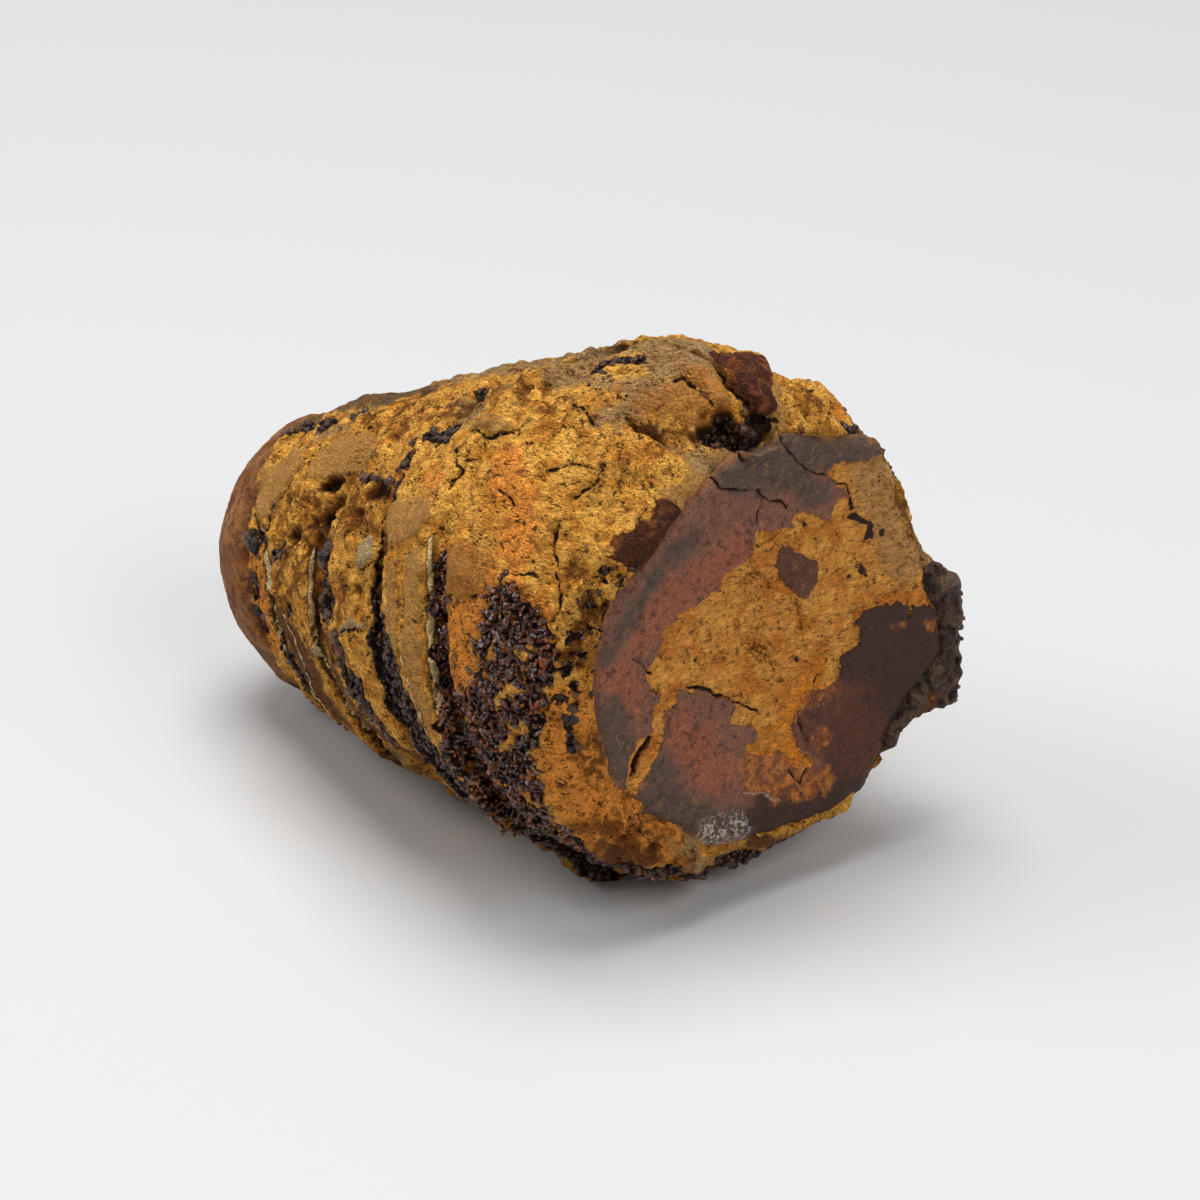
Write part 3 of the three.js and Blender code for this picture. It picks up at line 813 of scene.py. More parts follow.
rust = most(skin.any_of(RUST) + 0.9 * rough_edge, on_far_side(4.4, 0.9, 41) + 0.9 * rough_edge)
rust = most(rust, on_wall(*RUSTY) * 1.5 + 0.5 * rough_edge)
tan = most(on_wall(*TAN_PLATES) + 0.2 * rough_edge, skin.any_of(TAN) + 0.3 * rough_edge)
tan = most(tan, on_far_side(4.0, 1.3, 43))
grey = skin.any_of(GREY) + 1.8 * rough_edge + 1.4 * skin.noise(3.2, 45)
grey = most(grey, on_far_side(5.0, 1.2, 46))
slate = on_wall(*SLATE) + 0.6 * rough_edge
stain = most(on_wall(*STAINED) + 1.0 * rough_edge, on_far_side(4.6, 1.1, 48))
seam_druse = 0.55 - np.abs(seam - 0.5) + 1.1 * skin.noise(2.6, 50) - 3 * (1 - hidden)
druse = most(druse, on_far_side(3.4, 2.0, 11), seam_druse)
druse = least(druse, 0.3 - 3 * smooth(dome, 0.0, 0.4))
red_plate = on_wall(*RED_PLATES) + 0.25 * rough_edge
ledge = least(skin.around_face(LEDGE_RIM) - 12.6, 1.7 - np.abs(skin.out + 1.2))
ledge = least(ledge, skin.from_middle - 12.0) + 0.3 * rough_edge
ledge = least(ledge, -0.1 - skin.within([(12.6, -7.6, -0.6), (11.9, -8.4, -0.6)], 0.4))
lobe = on_wall(*LOBES) + 0.45 * rough_edge
shard = on_wall(*SHARDS)
crowded = most(on_wall(*PITS_CROWDED), skin.any_of(PITTED)) + 0.6 * skin.noise(1.5, 20)
pitted = smooth(most(crowded, on_far_side(4.0, 1.0, 52)), -0.5, 0.8) * (1 - smooth(tan, -0.1, 0.1))
crack = most(*[skin.within(path, 0.0) for path in CRACKS]) + 0.06 * skin.noise(0.6, 29)
edge = most(*[skin.within(path, 0.0, 0.2) for path in EDGES]) + 0.03 * skin.noise(0.8, 30)

# The relief, in mm: the marks that are smooth in the stone have less of it.
calm = most(
    smooth(dome, -0.2, 0.6), 0.7 * smooth(tan, -0.1, 0.3), 0.8 * smooth(lobe, -0.1, 0.2),
    0.6 * smooth(ledge, -0.1, 0.2), 0.8 * smooth(red_plate, -0.1, 0.1),
    0.9 * smooth(shard, -0.1, 0.1), 0.7 * smooth(slate, -0.3, 0.3),
)
roughness = 1 - 0.85 * calm
pit = 0.3 * roughness * skin.pocks(1.3, 0.22, 24)
pit += pitted * 0.75 * skin.pocks(1.5, 0.6, 25)
pit += pitted * 0.4 * skin.pocks(0.8, 0.5, 26)
pit += webbed * (0.6 * skin.pocks(1.0, 0.8, 57) + 0.4 * skin.pocks(0.6, 0.8, 58))
for width, depth, path in DEEP_PITS:
    pit += depth * smooth(skin.within(path, width) + 0.2 * skin.noise(0.8, 31), -0.3, 0.3)
heights = roughness * (0.17 * skin.noise(1.9, 21) + 0.16 * skin.noise(0.95, 22))
heights += (0.3 + 0.7 * roughness) * 0.15 * skin.noise(0.5, 23)
heights += smooth(ledge, -0.2, 0.4) * (0.5 * skin.noise(1.7, 53) + 0.18 * skin.noise(0.8, 54))
dome_relief = 0.08 * skin.noise(2.6, 35) - 0.2 * skin.pocks(1.7, 0.12, 36)
heights += smooth(dome, -0.2, 0.6) * dome_relief
heights += roughness * 0.12 * (0.4 - np.abs(skin.noise(1.3, 32)) * 2)
heights += pitted * (0.35 * skin.noise(1.1, 27) + 0.1) - pit
heights += 0.2 * smooth(tan, -0.05, 0.12) * (1 - smooth(skin.along, 34, 36))
heights += 0.18 * stepped * np.exp(-((np.minimum(seam, 0) / 0.6) ** 2)) * (seam <= 0)
heights -= 0.42 * stepped * smooth(seam, 0, 0.2) * (1 - smooth(seam, 0.3, 1.2))
heights += 0.1 * smooth(edge, -0.22, -0.03)
heights += 0.22 * smooth(shard, -0.05, 0.08)
heights -= 0.2 * smooth(druse, -0.1, 0.3) + 0.1 * smooth(black, -0.1, 0.3)
heights += 0.3 * smooth(druse, 0, 0.3) * skin.noise(0.6, 28)
heights -= 0.18 * smooth(crack, -0.25, -0.05)
for width, height, path in LUMPS:
    heights += height * smooth(skin.within(path, width) + 0.3 * skin.noise(0.9, 33), -0.5, 0.5)

# The septum's plate covers the broken face, so the filling lies lower behind it.
behind_plate = smooth(skin.over_dish(), -1.5, -1.0) * smooth(skin.face_edge(), -0.2, 0.8)
heights -= PLATE_ROOM * behind_plate
skin.keep(
    druse=druse, patch=patch, dome=dome, rust=rust, tan=tan, grey=grey, slate=slate, stain=stain,
    red_plate=red_plate, lobe=lobe, shard=shard, pitted=pitted, crack=-crack, edge=-edge, seam=seam,
    stepped=stepped, pit=pit, ledge=ledge,
)
skin.raise_by(heights)
skin.thin_out()

OCHRE = tone(238, 174, 76)
DEEP_OCHRE = tone(210, 138, 50)
ORANGE = tone(234, 144, 58)
TAN_FILLING = tone(160, 116, 62)
WEATHERED = tone(150, 122, 84)
SLATE_BROWN = tone(84, 68, 48)
BARK_BROWN = tone(112, 62, 16)
UMBER = tone(36, 18, 6)
STAIN_BROWN = tone(82, 48, 34)
RED_BROWN = tone(84, 46, 30)
RED_ORANGE = tone(150, 86, 44)
LOBE_BROWN = tone(162, 104, 48)
PALE_EDGE = tone(240, 208, 152)
SHARD_GREY = tone(182, 154, 110)
DRUSE_BROWN = tone(40, 24, 18)
DOME_BROWN = tone(132, 86, 50)
DOME_ORANGE = tone(164, 108, 56)
CRUST_BROWN = tone(112, 90, 74)
CRUST_DARK = tone(50, 36, 29)

limonite = Shader("limonite_filling")
wobble = limonite.noise(0.35, 3) - 0.5
fine = limonite.noise(0.16, 4, 0.5) - 0.5
mottle = limonite.noise(1.6, 5, 0.4)
crumbs = limonite.noise(0.7, 4, 0.8) - 0.5
grain = limonite.stretched((0.7, 1.3, 1.6), (0.2, 0.0, -0.26))
threads = limonite.noise(0.42, 2, 2.0, grain) - 0.5
pores = limonite.noise(0.46, 3, 0.4).between(0.35, 0.29)
stains = limonite.noise(1.0, 5, 1.0)
calm_dome = limonite.area("dome", wobble * 0.5, -0.1, 0.1)
tan_area = limonite.area("tan", wobble * 0.4, -0.06, 0.06)
lobe_area = limonite.area("lobe", wobble * 0.8, -0.2, 0.3)
slate_area = limonite.area("slate", wobble * 1.2, -0.3, 0.3)
druse_area = limonite.area("druse", wobble * 0.5, -0.04, 0.08)
ledge_area = limonite.area("ledge", wobble * 0.5, -0.1, 0.1)
split = limonite.area("crack", wobble * 0.12, 0.12, 0.05)
# Painted shade in the pits, darker the deeper they are.
pit_shade = limonite.field("pit") + wobble * 0.2
pale_line = limonite.field("edge") + wobble * 0.15
seam_place = limonite.field("seam") + wobble * 0.3
# The foot of each suture's step, darker the deeper the step: painted shade.
groove = seam_place.between(0.0, 0.1) * seam_place.between(0.9, 0.4)
groove = groove * limonite.field("stepped").between(0.2, 0.8)
open_area = (1 - calm_dome * 0.8) * (1 - tan_area * 0.5)
open_area = open_area * (1 - lobe_area * 0.4) * (1 - slate_area * 0.5)
# Small bumps: they raise the bump height and also paint shade into the colour, darker in their hollows
# and lighter on their tops.
relief = (crumbs * 1.5 + threads * 1.3) * open_area
rods_apart = limonite.noise(0.7, 3).between(0.54, 0.62) * 0.8

dome_colour = limonite.layers(
    limonite.mix(mottle.between(0.4, 0.65), DOME_BROWN, BARK_BROWN),
    (limonite.noise(2.2, 4, 0.6).between(0.5, 0.62) * 0.7, DOME_ORANGE),
    (limonite.noise(0.8, 5, 1.0).between(0.5, 0.62) * 0.8, STAIN_BROWN),
)
plate_colour = limonite.noise(1.2, 5, 0.8).between(0.5, 0.64) * 0.6
plate_colour = limonite.mix(plate_colour, RED_BROWN, RED_ORANGE)
druse_colour = rods_apart * limonite.field("patch").between(-0.3, 0.0)
druse_colour = limonite.mix(druse_colour, DRUSE_BROWN, ORANGE)
ledge_colour = limonite.noise(0.9, 5, 0.6).between(0.34, 0.66)
ledge_colour = limonite.mix(ledge_colour, CRUST_DARK, CRUST_BROWN)
colour = limonite.layers(
    OCHRE,
    (mottle.between(0.42, 0.62), DEEP_OCHRE),
    (limonite.area("rust", wobble, -0.3, 0.5) * 0.85, ORANGE),
    (tan_area * 0.85, TAN_FILLING),
    (limonite.area("grey", wobble * 1.5, -0.6, 0.9) * 0.8, WEATHERED),
    (slate_area * 0.9, SLATE_BROWN),
    (limonite.area("stain", wobble * 2.0, -0.3, 0.6) * 0.85, STAIN_BROWN),
    (calm_dome, dome_colour),
    (lobe_area * 0.8, LOBE_BROWN),
    (stains.between(0.54, 0.68) * 0.6 * (1 - tan_area), BARK_BROWN),
    (limonite.field("pitted") * stains.between(0.4, 0.56) * 0.75, BARK_BROWN),
    # Painted shade in the pits.
    (pit_shade.between(0.1, 0.35) * 0.85, BARK_BROWN),
    (pit_shade.between(0.35, 0.65) * 0.85, UMBER),
    # Painted shade in the hollows of the bumps.
    (relief.between(-0.1, -0.32) * 0.75, BARK_BROWN),
    (relief.between(-0.28, -0.42) * 0.9, UMBER),
    # Painted shade in the pores, which the bump also sinks.
    (pores * open_area * 0.85, UMBER),
    (limonite.area("red_plate", wobble * 0.4, -0.05, 0.06), plate_colour),
    (limonite.area("shard", wobble * 0.2, -0.03, 0.05), SHARD_GREY),
    # Painted shade at the foot of each suture's step.
    (groove * 0.85, UMBER),
    # Painted shadow along both sides of the raised pale edges.
    (pale_line.between(0.24, 0.14) * 0.6, UMBER),
    (pale_line.between(0.11, 0.07) * 0.85, PALE_EDGE),
    (split, UMBER),
    (druse_area, druse_colour),
    (ledge_area, ledge_colour),
)
# Painted light and shade: lighter on the tops of the bumps and darker in their hollows, with a random
# grain of tone.
colour = limonite.shade(colour, 1.16 + fine * 1.4 + relief * 0.6)
height = relief + fine * 0.25 - pores * 0.4 - split * 0.3 - groove * 0.15 + tan_area * 0.2
body.data.materials.append(limonite.finish(
    height, rise=0.62, Base_Color=colour,
    Roughness=0.85 - calm_dome * 0.2 - druse_area * 0.3 - ledge_area * 0.4,
    Specular_IOR_Level=0.15,
))
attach(body, "root")
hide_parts("fossil")


# --- Last septum ----------------------------------------------------------------------
# The broken end: a thin, smooth skin of hematite over the hollow septum, flaked away from
# the ochre filling beneath it. It is part of the same mass, with its own finer surface.
PLATE_THICKNESS = 2.3
BACK_SHARE = 0.93
PLATE_VOXEL = 0.096
SKIN_STEP = 0.26
SLIT_DEPTH = 0.85
RINGS_ACROSS = 10


def ring_of_plate(share, out=None):
    """Moves the selected ring of the plate to its place on the hollow face."""
    ring = [v for v in bmesh.from_edit_mesh(plate.data).verts if v.select]
    for vertex in ring:
        turn = math.atan2(vertex.co.y, vertex.co.x)
        reach = share * at_angle(FACE_RIM, math.degrees(turn) % 360)
        height = -FACE_DISH * (1 - share * share) if out is None else out
        vertex.co = Vector((reach * math.cos(turn), reach * math.sin(turn), height))


bpy.ops.object.select_all(action="DESELECT")
bpy.ops.mesh.primitive_cylinder_add(vertices=120, radius=FACE_RADIUS, depth=PLATE_THICKNESS)
plate = bpy.context.active_object
plate.name = "last_septum"
bpy.ops.object.mode_set(mode="EDIT")
for end, share, out in ((-1, BACK_SHARE, -PLATE_THICKNESS), (1, 1.0, None)):
    bpy.ops.mesh.select_all(action="DESELECT")
    for plate_face in bmesh.from_edit_mesh(plate.data).faces:
        plate_face.select_set(plate_face.normal.z * end > 0.9)
    ring_of_plate(share, out)
for ring in range(1, RINGS_ACROSS):
    bpy.ops.mesh.inset(thickness=FACE_RADIUS / RINGS_ACROSS * 0.9)
    ring_of_plate(1 - ring / RINGS_ACROSS)
bpy.ops.object.mode_set(mode="OBJECT")
upright_rows = np.stack([face_rows[1], face_rows[2], face_rows[0]])
plate_places = np.array([tuple(v.co) for v in plate.data.vertices]) @ upright_rows
plate_places = (plate_places + corner + FACE_CENTRE) * MM
plate.data.vertices.foreach_set("co", plate_places.ravel())
finish_with(plate, "REMESH", mode="VOXEL", voxel_size=PLATE_VOXEL * MM)
finish_with(plate, "SMOOTH", factor=0.5, iterations=3)
septum = Surface(plate)
flat = np.stack([septum.across, septum.up], axis=1) + septum.wander[:, :2] * 0.8


def marked(width, *path):
    """How many mm each vertex is inside a stroke drawn on the face."""
    gaps = [
        np.linalg.norm(off_line(flat, start, end), axis=1)
        for start, end in stretches(np.array(path, float))
    ]
    return width - least(*gaps)


# The skin that is left: across and up from the face's centre, past the rim where it meets it.
SKIN_PATCHES = [
    [  # the near and upper part
        (9.3, 10.4), (8.3, 10.3), (6.9, 10.3), (6.3, 10.2), (5.7, 10.5), (4.9, 10.3), (4.4, 9.8),
        (5.1, 9.4), (6, 8.8), (6.2, 7.9), (5.3, 8), (5, 7.4), (4.6, 7.1), (4, 7.2), (3.5, 7.8),
        (2.8, 8), (2, 8), (1.6, 7.7), (2, 7.1), (0.7, 7.2), (-0.8, 7.5), (-0.9, 6.7), (-1.8, 5.9),
        (-2.6, 5.7), (-3.6, 5), (-3.6, 4.5), (-4.4, 4.6), (-5.6, 4.1), (-7, 3.8), (-8.4, 3.2),
        (-8.6, 2), (-9.4, 1), (-9.4, -0.3), (-8.7, -0.6), (-8.5, -1.1), (-9.2, -1.3), (-9.4, -1.6),
        (-9.2, -2.4), (-9.4, -3.1), (-10.1, -3.3), (-10.8, -3.5), (-11.2, -4.1), (-11.7, -5.8),
        (-11.5, -6.7), (-12.6, -6.9), (-15, -5), (-15.5, 0.5), (-14, 6.5), (-10.5, 11),
        (-6.5, 13.6), (-3, 13.8), (-2.6, 14.6), (1, 15), (5, 14.8), (9, 13.2),
    ],
    [  # the lower part
        (-11.1, -7.4), (-10.4, -6), (-9.7, -4.9), (-8.8, -4.2), (-8.6, -3.1), (-8.2, -2.2),
        (-7.6, -2.1), (-7, -1.1), (-5.3, -1.7), (-3.8, -2.6), (-2.7, -3.6), (-3.2, -4.4),
        (-2.9, -4.8), (-2.1, -5.1), (-1.2, -5.8), (-1.3, -6.3), (-2.3, -6.6), (-2.3, -7.1),
        (-1.4, -7.5), (0.4, -7.7), (0.8, -8.2), (1.7, -9.2), (2.5, -9.4), (2.8, -9.1), (1.8, -7.8),
        (1.3, -6.5), (2, -5.4), (3.2, -4.3), (5.4, -4.1), (5.4, -2.9), (6.2, -2.3), (6.7, -1.9),
        (6.8, -1.1), (6.5, -0.6), (7.2, 0.1), (8.4, 0.2), (9.3, -0.2), (9.6, 0.1), (10, 0.1),
        (10.3, -0.1), (10.8, -1.2), (11, -0.7), (12.2, -1), (13.5, -1.9), (16.5, -2), (16.5, -8),
        (11.5, -13), (5, -16), (-2, -15), (-5.2, -13.2), (-5.8, -12.1), (-6.6, -11.5),
        (-8.2, -10.1), (-9.9, -9.2), (-11, -8.6),
    ],
    [
        (1, 6.4), (1.5, 6.1), (2.1, 5.4), (3.4, 4.4), (3.7, 3.9), (3.7, 3.2), (3.1, 2.4),
        (2.8, 2.1), (2.3, 2.5), (0.9, 4), (0.6, 4.6), (0.8, 5.9),
    ],
]
SKIN_CRACKS = [
    [(0.8, 13.6), (1, 12.9), (1.9, 11.7), (2.8, 10.8), (3.6, 10.3), (4.3, 9.9)],
    [(5.1, 9.4), (5.8, 8.9), (6.2, 8.6), (6.4, 7.4)],
    [(-4.7, 12.6), (-4.4, 12.2), (-4.1, 11.5), (-3.2, 11.2), (-2.4, 10.9), (-1.4, 10.6)],
    [(-1, 10.4), (-0.6, 10), (0, 9.5), (0.8, 9.1), (1.3, 8.6)],
    [(-0.6, 9.9), (-0.6, 9.4), (-0.8, 8.9), (-0.9, 8.3)],
    [(-2.4, 13.7), (-2.3, 13.2), (-2.1, 12.7)],
    [(-10.7, 2.2), (-10.1, 1.6), (-9.5, 1), (-9, 0.6)],
    [(-6, -1.2), (-5.1, -1.7), (-4.6, -2), (-3.8, -2.6), (-3.1, -3.3), (-2, -3.8), (-0.8, -4.7)],
    [(2, -5.4), (1.9, -6.1), (2.3, -7.1), (2.6, -7.8)],
    [(0.8, -9), (1.4, -9.8), (1.7, -10.2), (2, -9.7), (2.4, -9.5)],
    [(3.3, -3.9), (4, -3.3), (4.4, -2.6)],
    [(-9.4, -0.3), (-8.7, -0.6), (-8.4, -0.8)],
]
VEINS = [
    [(3.9, -2.1), (3.9, -3.8), (3.2, -3.9), (2.5, -4.1), (2.2, -4.7), (1.8, -5.1), (1, -5.4),
     (0.5, -5.8), (0.2, -6.5), (-0.3, -7.2), (-1.1, -7.1)],
    [(0.8, -7.3), (1.2, -8), (1.7, -8.5), (2.1, -8.9), (2.6, -9.2)],
    [(-2.1, -6.9), (-1.5, -6.6)],
]
RUSTY_SKIN = [
    (-2.4, -7), (-3, -9.1), (-1.6, -9.8), (0.5, -10.9), (2, -11.4), (3.8, -11.4), (4.4, -10.8),
    (4.3, -9.9), (3, -9.2), (0.8, -7),
]

# Dark specks in the filling: (half-width, path).
SPECKS = [
    (0.22, [(6.5, 6.6), (6.9, 6.3)]),
    (0.22, [(7.2, 6), (7.9, 5.6), (7.8, 4.9)]),
    (0.16, [(6.4, 7.9), (6.5, 7.1)]),
    (0.14, [(7.2, 2.9), (7.7, 2.1), (8.3, 1.7)]),
    (0.14, [(8.9, 4.9)]),
    (0.14, [(4, 4.6)]),
    (0.1, [(6.4, 2.7)]),
    (0.14, [(0.2, -1.7)]),
    (0.12, [(2.4, 7.4), (2.9, 7.1)]),
    (0.16, [(2.2, -2)]),
    (0.1, [(-5.7, 0.4)]),
]

# How far each vertex is inside each mark on the face, in mm, with ragged edges.
ragged = 0.3 * septum.noise(1.1, 31) + 0.14 * septum.noise(0.4, 32)
covered = most(*[inside(flat, outline) for outline in SKIN_PATCHES])
covered[covered < 2] += ragged[covered < 2]
split = most(*[marked(0.0, *path) for path in SKIN_CRACKS])
split = split + 0.04 * septum.noise(0.5, 33) - 0.03 * (septum.noise(0.9, 44) > 0.2)
vein = most(*[marked(0.24, *path) for path in VEINS]) + ragged * 0.75
slit = marked(0.26, (-10.9, -5.3), (-10.6, -4.6), (-10.1, -4.1), (-9.6, -3.8)) + ragged * 0.5
rusty_skin = most(inside(flat, RUSTY_SKIN), marked(0.7, (3.7, -7.7)))
rim = septum.face_edge() + 0.12 * septum.noise(0.9, 34)
front = smooth(septum.over_dish(), -0.6, -0.2)

# Its relief, in mm: the bare filling lies a step lower and is rougher than the skin.
bare = 1 - smooth(covered, -0.06, 0.06)
scratches = septum.noise(0.55, 35, (1, 1, 2.4)) + septum.noise(0.45, 36, (2.2, 1, 1))
heights = -SKIN_STEP * bare + 0.06 * bare * scratches * smooth(-covered, 0, 0.8)
heights += 0.09 * bare * septum.noise(1.4, 37)
heights -= 0.2 * bare * septum.pocks(0.75, 0.22, 38)
heights -= 0.12 * (1 - bare) * septum.pocks(1.6, 0.08, 39)
heights += 0.035 * (1 - bare) * septum.noise(2.4, 40) + 0.012 * septum.noise(0.5, 41)
heights -= 0.2 * smooth(split, -0.13, -0.02)
heights += smooth(vein, -0.1, 0.25) * (0.25 + 0.12 * septum.noise(0.4, 50))
rusty_relief = 0.1 * septum.noise(0.9, 48) + 0.05 * septum.noise(0.5, 49)
heights += smooth(rusty_skin, -0.1, 0.5) * rusty_relief
heights -= SLIT_DEPTH * smooth(slit, -0.1, 0.25)
heights *= front
# The rim is uneven and worn round, so that it runs into the body's own surface.
outwards = septum.across[:, None] * face_rows[1] + septum.up[:, None] * face_rows[2]
outwards /= np.linalg.norm(outwards, axis=1, keepdims=True) + 0.01
bulge = 0.14 * septum.noise(1.8, 45) + 0.16 * septum.noise(0.8, 46)
worn = 0.5 * smooth(1.3 - rim, 0, 1.3) ** 2 * smooth(septum.out, -1.6, -0.6)
shift = outwards * (bulge * smooth(1.6 - rim, 0, 1.6))[:, None] - face_rows[0] * worn[:, None]
septum.keep(
    covered=covered, split=-split, vein=vein, slit=slit, rim=rim,
    grey=most(
        marked(1.7, (-2.4, 12.6), (1, 12.2), (6, 12), (8.8, 11)),
        marked(1, (-3, 12), (2, 10.6), (3.4, 9)),
        marked(0.6, (-6.2, 8.7), (-8.6, 7.8), (-9.8, 6.5), (-11.4, 4.4), (-12.7, 3.2)),
        marked(1.3, (-13.3, -0.9), (-12.4, -3.6), (-12, -6)),
        marked(1.5, (-9.4, -6), (-9.3, -7.7), (-7.4, -9.8), (-4, -11.6)),
    ),
    red=most(
        marked(1.6, (-2.4, 6.8), (-5, 5.8), (-8.2, 4.8), (-10.2, 3.8)),
        marked(1.2, (-12, 2), (-11, 0)),
        marked(1.2, (-7.4, -3.6), (-6.2, -5.4), (-4.6, -8)),
    ),
    dark=most(
        marked(3.4, (8.4, -2.6), (12.2, -3.3), (10.4, -7), (7.4, -9.6)),
        marked(1.7, (6, -11), (3, -12.8), (-0.8, -11.9)),
    ),
    maroon=most(marked(2.4, (3.6, -5.8), (5.2, -6.6), (6, -8.6)), marked(2.2, (2.2, 4.3))),
    rust=most(
        rusty_skin, marked(0.5, (3.2, -5), (4.6, -4.6)), marked(0.5, (1.2, -5.8), (3.2, -3.8)),
        marked(0.2, (9.4, -1.6), (10.4, -1.8)), marked(0.3, (12.6, -2.4)),
    ),
    dust=marked(1.3, (-5.4, -11.4), (-3.8, -12)),
    pale=marked(1.9, (8, 9.2), (9.6, 6.6), (10.8, 3)),
    speck=most(*[marked(width, *path) for width, path in SPECKS]) + 0.2 * septum.noise(0.5, 47),
    hair=marked(0.05, (-2.9, -9.5), (-2.2, -9.6), (-1, -10.2), (0.1, -10.8)),
)
septum.raise_by(heights, shift)
septum.thin_out()

SKIN_PURPLE = tone(126, 82, 63)
SKIN_RED = tone(144, 83, 58)
SKIN_GREY = tone(88, 69, 57)
SKIN_DARK = tone(56, 35, 26)
SKIN_MAROON = tone(88, 50, 34)
SKIN_TAN = tone(164, 104, 62)
RIM_TAN = tone(170, 112, 58)
FROST = tone(172, 164, 154)
RUST_DARK = tone(122, 66, 34)
RUST_LIGHT = tone(184, 110, 42)
FACE_OCHRE = tone(226, 156, 70)
FACE_OCHRE_DEEP = tone(200, 122, 44)
FACE_PALE = tone(186, 138, 82)
VEIN_ORANGE = tone(246, 152, 44)

hematite = Shader("hematite_skin")
wobble = hematite.noise(0.22, 3) - 0.5
clouds = hematite.noise(1.5, 8, 0.4) - 0.5
patches = hematite.noise(0.55, 5, 0.6) - 0.5
grit = hematite.noise(0.13, 4) - 0.5
uneven = clouds * 3.2 + patches * 1.6 + grit * 1.2
skin_area = hematite.area("covered", wobble * 0.16, -0.03, 0.03)
dark_area = hematite.area("dark", uneven, -1.2, 0.2)
rust_area = hematite.area("rust", uneven * 0.5, -0.3, 0.3)
mixed_rust = hematite.noise(0.8, 4, 0.8).between(0.42, 0.6)
edge_band = hematite.area("rim", uneven * 0.5, 0.5, 0.0) * (1 - dark_area)
dots = (hematite.cells(0.3) + wobble * 0.3).between(0.2, 0.1)
dots = dots * hematite.noise(0.9, 2).between(0.5, 0.62)
flakes = hematite.noise(0.3, 4, 0.6) - 0.5 + grit * 0.4
# Pale grey flecks in a patch low on the skin.
frost = hematite.area("dust", uneven * 0.4, -0.6, 0.7) * flakes.between(-0.02, 0.1)
skin_colour = hematite.layers(
    SKIN_PURPLE,
    (hematite.area("red", uneven, -0.6, 0.6), SKIN_RED),
    (hematite.area("grey", uneven, -0.6, 0.5), SKIN_GREY),
    (dark_area * 0.95, SKIN_DARK),
    (hematite.area("maroon", uneven * 1.3, -1.0, 0.8) * 0.9, SKIN_MAROON),
    (rust_area * 0.8, hematite.mix(mixed_rust, RUST_DARK, RUST_LIGHT)),
    (edge_band * 0.6, RIM_TAN),
    (dots * 0.6, UMBER),
    (patches.between(0.06, 0.2) * 0.35 * (1 - dark_area), SKIN_TAN),
    (patches.between(-0.04, -0.18) * 0.55, SKIN_DARK),
    (frost * 0.85, FROST),
    (hematite.field("hair").between(-0.04, 0.04) * 0.55, FROST),
)
skin_colour = hematite.shade(skin_colour, 1 + grit * 2.4 + patches * 0.6)

grain = hematite.stretched((1.0, 1.0, 2.6), (0.6, 0.3, 0.0))
fibres = hematite.noise(0.75, 5, 1.6, grain) - 0.5
crumble = hematite.noise(0.6, 6, 1.0) - 0.5
face_pores = (hematite.cells(0.4) + wobble * 0.4).between(0.22, 0.1)
face_pores = face_pores * hematite.cells(0.4, "Color").between(0.66, 0.74)
filling = hematite.layers(
    FACE_OCHRE,
    (clouds.between(-0.1, 0.12), FACE_OCHRE_DEEP),
    (hematite.area("pale", uneven, -0.6, 0.6) * 0.8, FACE_PALE),
    (rust_area * 0.6, ORANGE),
    # Painted shade in the hollows of the fibres and crumbs that the bump raises.
    ((fibres * 0.8 + crumble * 0.6).between(-0.06, -0.2) * 0.7, BARK_BROWN),
    # Painted shade in the pores, which the bump also sinks.
    (face_pores * 0.8, UMBER),
    (hematite.area("speck", uneven * 0.3, -0.08, 0.05), SKIN_DARK),
)
# Painted light and shade: lighter on the tops of the fibres and crumbs and darker in their hollows,
# with a random grain of tone.
filling = hematite.shade(filling, 1.24 + grit * 1.4 + fibres * 1.6 + crumble * 1.0)
vein_colour = hematite.shade(hematite.mix(mixed_rust, VEIN_ORANGE, DEEP_OCHRE), 1 + grit * 1.6)
colour = hematite.layers(
    filling,
    (skin_area, skin_colour),
    (hematite.area("vein", wobble * 0.4, -0.08, 0.08), vein_colour),
    (hematite.area("split", wobble * 0.05, 0.1, 0.04), UMBER),
    (hematite.area("slit", wobble * 0.2, -0.2, -0.08) * 0.85, ORANGE),
    (hematite.area("slit", wobble * 0.2, -0.06, 0.06), UMBER),
)
height = (1 - skin_area) * (fibres * 1.8 + crumble * 1.6 - face_pores * 0.4)
height = height + grit * 0.3 + patches * 0.3
plate.data.materials.append(hematite.finish(
    height, rise=0.42, Base_Color=colour, Roughness=0.86 - skin_area * 0.32 + grit * 0.4,
    Specular_IOR_Level=0.25,
))
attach(plate, "root")


# --- Crust knobs ----------------------------------------------------------------------
# Glossy black knobs of hematite that line the sutures, pits and broken edges in crusts.
# They are fused to the filling; each is a small faceted lump, half sunk in it.
KNOB_SPACING = 0.3
KNOB_WIDTHS = (0.2, 0.54)
KNOB_LEAN = 0.4
BEAD_LEAN = 0.25
BEAD_STRAY = 0.16  # how far a bead lies off its chain, as a share of its width

knobs_random = np.random.default_rng(5)


def roughened(unit, offset, uniform, seed):
    """A unit shape with its corners moved at random."""
    bpy.ops.object.mode_set(mode="EDIT")
    bpy.ops.mesh.select_all(action="SELECT")
    bpy.ops.transform.vertex_random(offset=offset, uniform=uniform, seed=seed)
    bpy.ops.object.mode_set(mode="OBJECT")
    return unit


